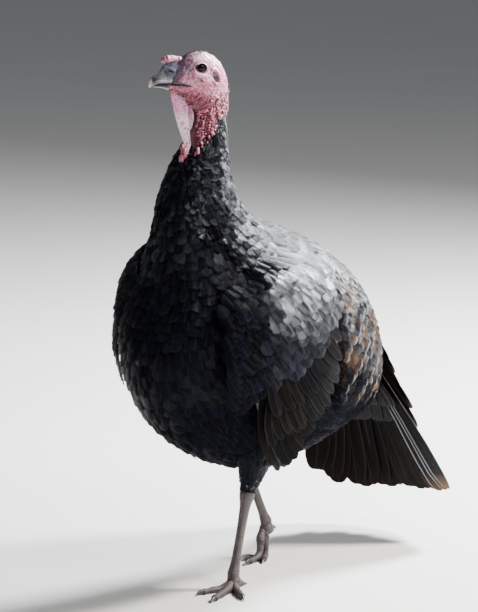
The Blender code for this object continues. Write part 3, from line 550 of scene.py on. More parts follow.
BODY_PATCH = (0.0, 0.0, 0.70, 1.0)
WING_PATCH = {1: (0.72, 0.0, 0.27, 0.30), -1: (0.72, 0.31, 0.27, 0.30)}
THIGH_PATCH = {1: (0.72, 0.62, 0.13, 0.18), -1: (0.86, 0.62, 0.13, 0.18)}
TAIL_PATCH, DEWLAP_PATCH, SNOOD_PATCH = ((0.72, 0.82, 0.15, 0.17), (0.88, 0.82, 0.06, 0.17),
                                         (0.95, 0.82, 0.04, 0.17))


def body_patch(s, turn):
    """Where a place on the body lies on the skin's unwrap."""
    return BODY_PATCH[2] * turn / TURN, np.interp(s, STATION_LIST, STATION_SHARES)


def quincunx(surface, start, end, spacing, gap, turn_from=0.0, turn_to=TURN, seed=1):
    """Roots in staggered rows along a surface, evenly spaced round each row."""
    rng = np.random.default_rng(seed)
    p, q, s, row = [], [], start, 0
    while s < end:
        turn = np.linspace(turn_from, turn_to, 257)
        ring = surface(np.full(turn.shape, s), turn)
        reach = np.concatenate([[0], np.cumsum(np.linalg.norm(np.diff(ring, axis=0), axis=1))])
        count = max(int(round(reach[-1] / gap(s))), 3)
        step = (np.arange(count) + 0.5 * (row % 2) + rng.normal(0, 0.08, count)) / count
        q.append(np.interp(step * reach[-1], reach, turn))
        pace = np.linalg.norm(surface(np.full(turn.shape, s + 0.05), turn) - ring, axis=1).mean() / 0.05
        p.append(s + rng.normal(0, 0.10, count) * spacing(s) / pace)
        s += spacing(s) / pace
        row += 1
    return np.concatenate(p), np.concatenate(q)


def by_station(*pairs):
    """A size that changes from station to station along the body."""
    known = np.array(pairs)
    return lambda s: np.interp(s, known[:, 0], known[:, 1])


skin_mat, tree, shader = material(
    "bare_skin", (0.6, 0.3, 0.32), 0.42, Subsurface_Weight=0.15, Subsurface_Scale=0.003,
    Specular_IOR_Level=0.5,
    Coat_Weight=0.12, Coat_Roughness=0.17)
shader.inputs["Subsurface Radius"].default_value = (1.0, 0.28, 0.18)
marks = marking(tree)
where = places(tree)
cells = node(tree, "TexVoronoi", {"Vector": where, "Scale": 900.0, "Randomness": 1.0},
             feature="F1").outputs["Distance"]
mottle = noise(tree, where, 260.0, 6.0)
veins = noise(tree, where, 900.0, 3.0)
bare = ramp(tree, marks["Fac"], 0.05, 0.14)
tree.links.new(ramp(tree, marks["Alpha"], 0.0, 1.0, 0.40, 0.90), shader.inputs["Coat Weight"])
toned = mixed(tree, maths(tree, "MULTIPLY", bare, ramp(tree, mottle, 0.36, 0.60)), marks["Color"],
              (0.16, 0.05, 0.11), "SOFT_LIGHT")
pored = mixed(tree, maths(tree, "MULTIPLY", bare, ramp(tree, cells, 0.25, 0.80, 0.0, 0.42)), toned,
              (0.20, 0.035, 0.075))
tree.links.new(
    mixed(tree, maths(tree, "MULTIPLY", bare, ramp(tree, veins, 0.58, 0.74, 0.0, 0.40)), pored,
          (0.36, 0.055, 0.10)),
    shader.inputs["Base Color"])
tree.links.new(ramp(tree, mottle, 0.3, 0.7, 0.28, 0.50), shader.inputs["Roughness"])
pimples = maths(tree, "MULTIPLY", cells, ramp(tree, noise(tree, where, 60.0, 3.0), 0.35, 0.65, -0.25, -1.0))
height = maths(tree, "MULTIPLY_ADD", veins, 0.5, maths(tree, "MULTIPLY_ADD", mottle, 0.9, pimples))
bump(tree, shader, height, 0.0006, 0.8)

FACE, CROWN, LORES, CHEEK, CHEEK_SPOT, JAW, NECK_RED = (np.array(c) for c in (
    (0.68, 0.37, 0.48), (0.80, 0.60, 0.67), (0.075, 0.055, 0.095), (0.37, 0.16, 0.27), (0.55, 0.47, 0.30),
    (0.56, 0.19, 0.26), (0.21, 0.028, 0.046)))
EAR_GREY, LIP, BY_BILL, FEATHERED = (np.array(c) for c in (
    (0.085, 0.075, 0.095), (0.035, 0.027, 0.036), (0.056, 0.062, 0.100), (0.012, 0.012, 0.014)))


def dyed(colours, *coats):
    """Colours with coats over them, each a tint and the share of it that every point takes."""
    for tint, share in coats:
        share = np.clip(share, 0, 1)[:, None]
        colours = colours * (1 - share) + tint * share
    return colours


def skin_colours(s, turn):
    """The skin's markings: pale crown, lilac before the eye, red throat and neck, black under plumage."""
    _side, forward, z = side_of(s, turn)
    gap = z - mouth_line(forward)

    def spot(*form):
        return hump(forward, z, *form)

    mottled = 0.80 + 0.16 * stir(2.6 * forward, 2.6 * z)
    blush = smooth(stir(1.7 * z, 1.9 * forward), 0.5, 1.6) * smooth(-z, -0.772, -0.750)
    crease_shade = smooth(-wrinkle(forward, z), 0.3, 1.1) * smooth(-z, -0.760, -0.740)
    ragged = 1 + 0.16 * stir(3.1 * forward, 2.7 * z)
    lip_line = (gap - 0.0006) / (0.0031 * lip_width(forward) * ragged)
    border = forward + 0.35 * (z - 0.755) + 0.0026 * stir(3 * forward, 3 * z)
    streaks = smooth(stir(1.2 * forward, 5 * z) + 0.5 * stir(5 * z, 4 * forward), 0.0, 1.0)
    ear = ear_ring(forward, z)
    return dyed(
        FACE,
        (CROWN, smooth(z, 0.768, 0.782) * smooth(-forward, -0.046, -0.036)),
        # before and round the eye
        (LORES, 1.05 * mottled * spot(0.0395, 0.7665, 0.0140, 0.0160, 0.4)),
        (LORES * 0.5, 0.95 * spot(0.0420, 0.7850, 0.0150, 0.0046, -0.30)),
        (LORES * 0.45, 0.85 * spot(EYE_FORWARD + 0.0085, EYE_Z + 0.0010, 0.0035, 0.0050)),
        (CHEEK, 0.75 * spot(0.0240, 0.7530, 0.0080, 0.0045)),
        (CROWN * 1.15, 0.9 * spot(EYE_FORWARD + 0.002, EYE_Z - 0.0098, 0.0080, 0.0028, 0.2)),
        (CHEEK_SPOT, 0.8 * spot(0.0420, 0.7560, 0.0016, 0.0022)),
        # jaw, throat and neck
        (JAW, smooth(-gap, -0.001, 0.006) * smooth(z, 0.700, 0.716)),
        (JAW, 0.9 * spot(0.0120, 0.7420, 0.0170, 0.0070)),
        (JAW * 0.8, 0.5 * blush),
        (NECK_RED, 0.9 * smooth(-z + 0.25 * forward, -0.7330, -0.7130)),
        # painted shade: darker red in the troughs of the wrinkles
        (NECK_RED * 0.9, 0.32 * crease_shade),
        (NECK_RED * 0.35, 0.8 * smooth(s, 6.6, 7.4) * smooth(-gap, 0.012, 0.022)),
        # lips, the border of the bill, wart, brow, ear and what lies under the plumage
        (LIP * 1.5, 1.05 * np.exp(-lip_line ** 4) * smooth(forward, 0.0270, 0.0390)),
        (BY_BILL, 0.97 * smooth(border, 0.0430, 0.0540) * smooth(z, 0.7440, 0.7480)),
        (EAR_GREY * 0.3, 1.3 * spot(*WART, 0.0024, 0.0018)),
        (EAR_GREY * 0.15, 0.9 * streaks * spot(0.0410, 0.7860, 0.0160, 0.0060, -0.30)),
        # the ear: its own grey round the opening, and a dark centre painted as shade in the opening
        (EAR_GREY * 1.6, smooth(-ear, -1.15, -0.75)),
        (EAR_GREY * 0.35, smooth(-ear, -0.80, -0.20)),
        (FEATHERED, smooth(s - bare_edge(turn), -0.15, 0.20)))


# A feather or a bead bakes to a patch of this width at its root's place on the skin's unwrap.
BAKE_WIDTH = 0.003


def caruncle(place, out, ahead, radii, seed, root_uv=(0.5, 0.5), fineness=3):
    """A soft uneven bead of skin, with its patch at its root's place on the skin's unwrap."""
    work = bmesh.new()
    bmesh.ops.create_icosphere(work, subdivisions=fineness, radius=1.0)
    round_spots = np.array([v.co for v in work.verts])
    rng = np.random.default_rng(seed)
    bumpy = np.zeros(len(round_spots))
    for _ in range(5):
        bumpy += 0.075 * np.sin(round_spots @ rng.normal(0, 3.0, 3) + rng.uniform(0, 6))
    spots = round_spots * (1 + bumpy[:, None]) * radii
    frame_rows = np.stack([ahead, np.cross(out, ahead), out])
    for vert, spot in zip(work.verts, spots @ frame_rows + place):
        vert.co = spot
    work.loops.layers.uv.new("OFBake")
    made = meshed("caruncle", work)
    set_unwrap(made, np.array(root_uv) + BAKE_WIDTH / 2 * round_spots[unwrap_of(made)[1], :2])
    return made


skin_parts = [grid_mesh("body", 180, len(STATION_LIST) - 1, skin_place, BODY_PATCH)]
for side in SIDES.values():
    skin_parts.append(grid_mesh("arm", 32, 36, wing_skin(side), WING_PATCH[side]))
    skin_parts.append(grid_mesh("thigh", 32, 24, thigh_skin(side), THIGH_PATCH[side]))
body_share = shares_of(skin_parts[0], BODY_PATCH)
stations = np.interp(body_share[:, 1], STATION_SHARES, STATION_LIST)
body_colours = skin_colours(stations, body_share[:, 0] * TURN)

BEAD_RED = np.array((0.35, 0.042, 0.100))
rng = np.random.default_rng(14)
BEADS_FROM, BEADS_TO, BEAD_ROW_GAP, BEAD_SIDE_GAP = 5.4, 9.2, 0.0040, 0.0046
bead_s, bead_turn = quincunx(
    body_at, BEADS_FROM, BEADS_TO, lambda s: BEAD_ROW_GAP, lambda s: BEAD_SIDE_GAP, seed=31)
_here, bead_p, _q, bead_out = slopes(body_at, bead_s, bead_turn)
beads, bead_colours = [], []
for s, turn, ahead, out in zip(bead_s, bead_turn, bead_p, bead_out):
    front = 0.5 - 0.5 * math.cos(turn)
    first = 6.9 - 1.0 * smooth(-np.array(front), -0.5, -0.2)
    past = s - float(bare_edge(np.array(turn)))
    if front > 0.90 or s < first or rng.uniform() < 0.12 + 0.6 * max(front - 0.60, 0) + 2.2 * (past + 0.2):
        continue
    radius = 0.0009 + 0.0021 * rng.uniform() ** 1.7 * (0.75 + 0.35 * smooth(np.array(s), 6.2, 7.2))
    place = body_at(np.array([s]), np.array([turn]))[0] + out * radius * rng.uniform(0.05, 0.40)
    aim = unit(ahead + 0.8 * rng.normal(0, 1, 3))
    aim = unit(aim - out * np.dot(aim, out))
    long = rng.uniform(1.0, 1.7)
    size = (radius * long, radius, radius * rng.uniform(0.8, 1.15))
    beads.append(caruncle(place, out, aim, size, len(beads), body_patch(s, turn),
                          2 if radius < 0.0020 else 3))
    pale = 0.32 * rng.uniform() ** 2
    tint = (BEAD_RED * (1 - pale) + FACE * pale) * rng.uniform(0.5, 1.25)
    reach = (points_of(beads[-1]) - place) @ out / radius
    # painted light on each bead: darker towards its root as painted shade between the beads, and paler on its
    # crest as a painted highlight
    crest_highlight = CROWN * 0.15 * smooth(reach, 0.5, 1.0)[:, None]
    bead = tint * (0.16 + 0.90 * smooth(reach, -0.1, 0.8))[:, None] + crest_highlight
    bead_colours.append(np.c_[bead, np.ones(len(bead))])
rest = sum(len(mesh.vertices) for mesh in skin_parts[1:])
skin_mesh = joined("skin", skin_parts + beads)
smooth_colours = np.concatenate([body_colours, np.tile(FEATHERED, (rest, 1))])
paint(skin_mesh, np.concatenate([np.c_[smooth_colours, np.zeros(len(smooth_colours))], *bead_colours]))

# Plumage of neck, breast, back and belly.
# Small stiff feathers in rows round the body, each rooted in the skin under the ones before it, black
# with a blue gloss; on the rump they turn bronze and end in a pale grey band.
RING_T = np.array((0, 0.20, 0.46, 0.70, 0.85, 0.935, 0.982, 1.0))
RING_W = np.array((0.22, 0.56, 0.90, 1.0, 0.89, 0.66, 0.37, 0.08))
THIN = {"x": np.array((-1, -0.5, 0, 0.5, 1, 0)), "z": np.array((0, 0.5, 1.0, 0.5, 0, -1.0))}
BROAD = {"x": np.array((-1, -0.6, -0.12, 0, 0.12, 0.6, 1, 0.5, 0, -0.5)),
         "z": np.array((0, 0.4, 0.5, 1.8, 0.5, 0.4, 0, -0.5, -1.0, -0.5))}
SHARP_EDGE = math.radians(70)


def plume(name, surface, at, run, size, lift, looks, patch, section=THIN, rings=(RING_T, RING_W), hand=1,
          seed=0,
          thick=0.0004, cup=0.22, fray=0.05, twist=5.0, tilt=0.0, bow=(0.0, 0.0), length_power=0.8):
    """Many feathers in one mesh: roots and runs on a surface, sizes, lifts of root and tip, and colours."""
    rng = np.random.default_rng(seed)
    p, q = at
    count, ring_count, points = len(p), len(rings[0]), len(section["x"])
    base, end, end_from, edge, gloss = looks
    size, low, high, end_from, edge, gloss = (
        np.broadcast_to(value, count) for value in (size, *lift, end_from, edge, gloss))
    t = rings[0][None, :]
    bend = rng.normal(0, 0.06, count)[:, None] * t ** 2
    pr = p[:, None] + run[0][:, None] * t + bow[0] * np.sin(math.pi * t)
    qr = q[:, None] + run[1][:, None] * t + bow[1] * np.sin(math.pi * t)
    here, along_p, along_q, out = slopes(surface, pr, qr)
    out = out * hand
    ahead = unit(along_p * run[0][:, None, None] + along_q * run[1][:, None, None])
    roll = np.radians(rng.normal(tilt * hand, twist, count))[:, None, None]
    across = unit(np.cross(ahead, out))
    across, out_rolled = (across * np.cos(roll) + out * np.sin(roll), out * np.cos(roll) - across
                          * np.sin(roll))
    half = size[:, None] * rings[1][None, :]
    rise = low[:, None] + (high - low)[:, None] * t ** length_power
    rise = rise + rng.normal(0, 0.0006, count)[:, None] * t
    middle = here + out * rise[..., None] + across * (bend * size[:, None] * 3)[..., None]
    x = section["x"][None, None, :] * half[..., None]
    ragged = (1 + fray * rng.normal(0, 1, (count, ring_count, points)) * (np.abs(section["x"]) > 0.4)
              * (t[..., None] > 0.3))
    x = x * ragged
    z = section["z"] * thick * (1 - 0.6 * t[..., None]) - cup * x ** 2 / np.maximum(half[..., None], 1e-5)
    spots = middle[:, :, None] + across[:, :, None] * x[..., None] + out_rolled[:, :, None] * z[..., None]
    each = np.arange(count)[:, None] * ring_count * points
    first = each[..., None] + np.arange(ring_count - 1)[None, :, None] * points
    k = np.arange(points)[None, None, :]
    k_next = (k + 1) % points
    face = [first + k, first + k_next, first + points + k_next, first + points + k]
    quads = np.stack(face, -1).reshape(-1, 4)
    root = each + np.arange(points)[::-1][None, :]
    tip = each + (ring_count - 1) * points + np.arange(points)[None, :]
    loops = np.concatenate([quads.ravel(), root.ravel(), tip.ravel()]).astype(np.int32)
    sizes = np.concatenate([np.full(len(quads), 4), np.full(2 * count, points)])
    mesh = bpy.data.meshes.new(name)
    mesh.vertices.add(count * ring_count * points)
    mesh.vertices.foreach_set("co", spots.astype(np.float32).ravel())
    mesh.loops.add(len(loops))
    mesh.loops.foreach_set("vertex_index", loops)
    mesh.polygons.add(len(sizes))
    mesh.polygons.foreach_set("loop_start", np.concatenate([[0], np.cumsum(sizes)[:-1]]).astype(np.int32))
    mesh.update(calc_edges=True)
    mesh.shade_smooth()
    mesh.set_sharp_from_angle(angle=SHARP_EDGE)
    vane = np.stack(np.broadcast_arrays(section["x"][None, None, :] * 0.5 + 0.5, t[..., None]), -1)
    vane = np.broadcast_to(vane, (count, ring_count, points, 2)).reshape(-1, 2)
    mesh.uv_layers.new(name="Vane").uv.foreach_set("vector", vane[loops].astype(np.float32).ravel())
    root_uv = np.stack(patch, -1)
    baked = (root_uv[:, None] + (vane.reshape(count, -1, 2) - 0.5) * BAKE_WIDTH).reshape(-1, 2)
    mesh.uv_layers.new(name="OFBake").uv.foreach_set("vector", baked[loops].astype(np.float32).ravel())
    share = smooth(t, end_from[:, None] - 0.06, end_from[:, None] + 0.06)[..., None]
    colour = base[:, None] * (1 - share) + end[:, None] * share
    colour = np.concatenate([colour, np.broadcast_to(edge[:, None, None], (count, ring_count, 1))], -1)
    paint(mesh, np.repeat(colour[:, :, None], points, 2).reshape(-1, 4))
    shine = mesh.attributes.new("Gloss", "FLOAT", "POINT")
    shine.data.foreach_set("value", np.repeat(gloss, ring_count * points).astype(np.float32))
    return mesh


def feather_material(name, roughness, tint, fleck):
    """Barbed vane: fine slanting barbs, a raised shaft, a paler hem, and each feather's own gloss; on the lit
    upper plumage the paler hem is partly a painted highlight.
    """
    mat, tree, shader = material(name, (0.01, 0.01, 0.012), roughness)
    shine = node(tree, "Attribute", {}, attribute_name="Gloss")
    tree.links.new(shine.outputs["Fac"], shader.inputs["Specular IOR Level"])
    shader.inputs["Specular Tint"].default_value = (*tint, 1)
    shader.inputs["Sheen Weight"].default_value = 0.004
    shader.inputs["Sheen Roughness"].default_value = 0.4
    shader.inputs["Sheen Tint"].default_value = (0.75, 0.82, 1.0, 1)
    marks = marking(tree)
    vane = node(tree, "UVMap", {}, uv_map="Vane")
    parts = node(tree, "SeparateXYZ", {0: vane.outputs[0]})
    off = maths(tree, "ABSOLUTE", maths(tree, "MULTIPLY_ADD", parts.outputs[0], 2.0, -1.0))
    slant = maths(tree, "MULTIPLY_ADD", off, 0.35, parts.outputs[1])
    jitter = maths(tree, "MULTIPLY_ADD", noise(tree, places(tree), 90.0, 3.0), 0.10, slant)
    barbs = maths(tree, "SINE", maths(tree, "MULTIPLY", jitter, 260.0))
    shaft = ramp(tree, off, 0.03, 0.09, 1.0, 0.0)
    hem = maths(tree, "MULTIPLY", ramp(tree, off, 0.80, 0.97), marks["Alpha"])
    cloud = noise(tree, places(tree), 28.0, 5.0)
    toned = mixed(tree, ramp(tree, cloud, 0.35, 0.7), marks["Color"], fleck, "SOFT_LIGHT")
    hemmed = mixed(tree, hem, toned, (0.20, 0.20, 0.22))
    lined = mixed(tree, maths(tree, "MULTIPLY", shaft, 0.10), hemmed, (0.07, 0.065, 0.06))
    tree.links.new(lined, shader.inputs["Base Color"])
    rough = maths(tree, "MULTIPLY_ADD", cloud, 0.22, roughness - 0.10)
    tree.links.new(rough, shader.inputs["Roughness"])
    height = maths(tree, "MULTIPLY_ADD", shaft, 1.5, maths(tree, "MULTIPLY", barbs, 0.5))
    bump(tree, shader, height, 0.00025, 0.7)
    return mat


feather_mat = feather_material("body_feather", 0.34, (0.84, 0.91, 1.0), (0.50, 0.53, 0.60))


row_gap = by_station((8.0, 0.0040), (10.0, 0.0062), (13.0, 0.0100), (15.5, 0.0130), (24.0, 0.0130))
side_gap = by_station((8.0, 0.0042), (10.0, 0.0072), (13.0, 0.0120), (15.5, 0.0160), (24.0, 0.0165))
half_wide = by_station((8.0, 0.0030), (10.0, 0.0056), (13.0, 0.0100), (15.5, 0.0130), (24.0, 0.0150))
full_long = by_station((8.0, 0.0100), (10.0, 0.0165), (13.0, 0.0300), (15.5, 0.0390), (24.0, 0.0480))
BLACK, BLUE, BRONZE, GREY = (np.array(c) for c in (
    (0.0026, 0.0025, 0.0033), (0.0038, 0.0042, 0.0080), (0.044, 0.023, 0.013), (0.27, 0.255, 0.235)))

# The plumage parts in a crease before the wing's bend and over its elbow, in side view, and lies
# in the wing's shadow behind its rear edge; feathers in both places are painted darker, as painted shade.
CREASE = ((-0.168, 0.540), (-0.132, 0.474))
CREASE_WIDE, ELBOW, ELBOW_SIZE = 0.0100, (-0.088, 0.448), (0.011, 0.010)


def parting(y, z):
    """How deep in a parting of the plumage a place in side view lies, nought to one."""
    (from_y, from_z), (to_y, to_z) = CREASE
    run_y, run_z = to_y - from_y, to_z - from_z
    share = np.clip(((y - from_y) * run_y + (z - from_z) * run_z) / (run_y ** 2 + run_z ** 2), 0, 1)
    off = np.hypot(y - from_y - share * run_y, z - from_z - share * run_z) / CREASE_WIDE
    elbow = np.hypot((y - ELBOW[0]) / ELBOW_SIZE[0], (z - ELBOW[1]) / ELBOW_SIZE[1])
    return np.exp(-np.minimum(off, elbow) ** 2)


def wing_shade(y, z):
    """How far a place in side view lies in the shade behind the wing, nought to one."""
    return (smooth(y, 0.000, 0.018) * smooth(-y, -0.080, -0.062) * smooth(z, 0.25, 0.29)
            * smooth(-z, -0.462, -0.440))


p, q = quincunx(body_at, 7.3, TAIL_ROOT - 0.4, row_gap, side_gap)
rng = np.random.default_rng(7)
grown = p > bare_edge(q) + rng.normal(-0.10, 0.14, len(p))
p, q = p[grown], q[grown]
_here, along_p, along_q, _out = slopes(body_at, p, q)
length = full_long(p) * rng.uniform(0.92, 1.08, len(p))
run_p = length / np.linalg.norm(along_p, axis=1)
run_q = rng.normal(0, 0.05, len(p)) * length / np.maximum(np.linalg.norm(along_q, axis=1), 0.01)
down = 0.5 - 0.5 * np.cos(q)
lower = 0.16 * smooth(p, 17.8, 19.8)
rump = smooth(p, 16.2, 18.0) * smooth(-down, -0.48 - lower, -0.26 - lower)
shaded = smooth(p, 16.0, 17.5) * smooth(down, 0.26 + 0.6 * lower, 0.42 + 0.6 * lower)
tip_x, tip_y, tip_z = np.moveaxis(body_at(p + run_p, q + run_q) + ORIGIN, -1, 0)
shift_y, shift_z = np.where(tip_x > 0, np.array(WING_SHIFT[1])[:, None], np.array(WING_SHIFT[-1])[:, None])
parted = parting(tip_y - shift_y, tip_z - shift_z)
painted_shade = np.maximum(parted, wing_shade(tip_y - shift_y, tip_z - shift_z)) * (np.abs(tip_x) > 0.05)
tone = rng.uniform(0, 1, (len(p), 1))
base = BLACK * (1 - tone) + BLUE * tone
bronzed = (rump * smooth(rng.uniform(0, 1, len(p)) + 0.25 * np.sin(3.1 * p + 4 * q), 0.42, 0.85))[:, None]
base = base * (1 - bronzed) + BRONZE * rng.uniform(0.6, 1.5, (len(p), 1)) * bronzed
banded = (rump * smooth(np.sin(TURN * (p + 0.06 * np.sin(5 * q)) / 0.84), 0.15, 0.7)
          * rng.uniform(0.4, 1.0, len(p)))[:, None]
tips = base * (1 - banded) + GREY * banded
# painted shade: feathers in the crease before the wing and in its shadow behind it are painted darker
base, tips = base * (1 - 0.7 * painted_shade[:, None]), tips * (1 - 0.97 * painted_shade[:, None])
# pale hems, stronger over the back: partly the feathers' own hems, partly a painted highlight of the lit
# upper plumage
edge = (0.015 + 0.20 * smooth(-down, -0.40, -0.12)) * rng.uniform(0.1, 1.2, len(p)) * (1 - painted_shade)
on_neck, lit = smooth(-p, -14.0, -12.0), smooth(-down, -0.46, -0.26)
gloss = (0.045 * (1 - on_neck) + 0.13 * on_neck) * (1 - lit) + (1.0 * (1 - on_neck) + 0.60 * on_neck) * lit
gloss = gloss * (1 - 0.82 * rump) * (1 - 0.94 * shaded) * (1 - 0.96 * painted_shade)
luck = rng.uniform(0, 1, len(p))
gloss = gloss * ((0.35 + 1.3 * luck ** 1.6) * (1 - on_neck) + (0.12 + 2.3 * luck ** 2.4) * on_neck)
patch = body_patch(p, q)
depth = coat_depth(p)
upper = down < np.interp(p, (13.0, 15.0, 24.0), (0.30, 0.42, 0.45))
NECK_END = 13.0
REGIONS = {
    "neck_feathers": p < NECK_END,
    "breast_feathers": (p >= NECK_END) & ~upper,
    "back_feathers": (p >= NECK_END) & upper,
}
for name, chosen in REGIONS.items():
    mesh = plume(
        name, body_at, (p[chosen], q[chosen]), (run_p[chosen], run_q[chosen]), half_wide(p[chosen]),
        (-np.maximum(depth[chosen], 0.0010), 0.0006),
        (base[chosen], tips[chosen], 0.90 + 0.04 * rump[chosen], edge[chosen], gloss[chosen]),
        (patch[0][chosen], patch[1][chosen]), seed=len(name), twist=10.0 if name == "neck_feathers" else 5.0)
    place_object(name, mesh, feather_mat)

# Folded wings.
# Primaries, secondaries, greater and median coverts in tiers, each rooted under the one above, and over
# the arm the small feathers of the shoulder, which also grow from the side of the breast and the back.
# Blue-black with silvery hems, partly painted highlight on the lit shoulder; the quills are browner and
# frayed.
LONG_T = np.array((0, 0.10, 0.26, 0.44, 0.62, 0.78, 0.88, 0.945, 0.985, 1.0))
LONG_W = np.array((0.30, 0.60, 0.84, 0.97, 1.0, 0.96, 0.84, 0.65, 0.36, 0.10))
# How many, roots from and to, five places along the row of tips in side view, half width, lift of
# root and tip, hem.
WING_TIERS = (
    ("primaries", 10, (-0.148, 0.345), (-0.120, 0.280),
     ((-0.108, 0.222), (-0.090, 0.208), (-0.072, 0.198), (-0.056, 0.194), (-0.042, 0.200)),
     0.0100, 0.0050, 0.0030, 0.03),
    ("secondaries", 14, (-0.118, 0.290), (-0.050, 0.455),
     ((-0.052, 0.205), (-0.022, 0.242), (0.008, 0.286), (0.018, 0.334), (0.000, 0.405)),
     0.0150, 0.0085, 0.0085, 0.03),
    ("greater_coverts", 14, (-0.138, 0.335), (-0.040, 0.465),
     ((-0.112, 0.248), (-0.060, 0.258), (-0.004, 0.280), (0.020, 0.325), (0.000, 0.400)),
     0.0130, 0.0130, 0.0160, 0.06),
    ("median_coverts", 13, (-0.146, 0.380), (-0.050, 0.478),
     ((-0.122, 0.292), (-0.078, 0.300), (-0.030, 0.318), (0.010, 0.355), (-0.004, 0.425)),
     0.0130, 0.0180, 0.0225, 0.03),
)
WING_BROWN = np.array((0.016, 0.012, 0.010))
WING_TUCK = {1: (0.0, 0.0), -1: (0.022, 0.010)}
# The shoulder's feathers stand in rows over this stretch of the side view: from, to and gap, up and along.
ROWS_UP, ROWS_ALONG, ARM_RISE = (0.250, 0.520, 0.0095), (-0.235, 0.060, 0.0090), 0.0245


def side_view(side):
    """The hanging wing's own surface by place in side view: y, and height counted downwards."""
    return lambda y, drop: over_flank(side, y, -drop, 0 * y)


def front_edge(side, z):
    """How far back the bend of the wing lies at a height, in side view."""
    shift_y, shift_z = WING_SHIFT[side]
    rows = np.concatenate([WING[4:0:-1, 2:4], WING[:3, :2]])
    rows = rows[np.argsort(rows[:, 1])]
    return np.interp(z - shift_z, rows[:, 1], rows[:, 0]) + shift_y


def top_edge(side, y):
    """How high the wing's arm reaches at a place along it, in side view."""
    shift_y, shift_z = WING_SHIFT[side]
    return np.interp(y - shift_y, WING[:, 0], WING[:, 1]) + shift_z


def shoulder(side):
    """The flank rising smoothly over the folded arm, by place in side view."""
    def at(y, drop):
        past, below = y - front_edge(side, -drop), top_edge(side, y) + drop
        steep = smooth(-drop, 0.40, 0.45)
        from_past, to_past = -0.064 + 0.010 * steep, 0.026 - 0.008 * steep
        rise = smooth(past, from_past, to_past) * smooth(below, -0.024, 0.030)
        return over_flank(side, y, -drop, ARM_RISE * rise)
    return at


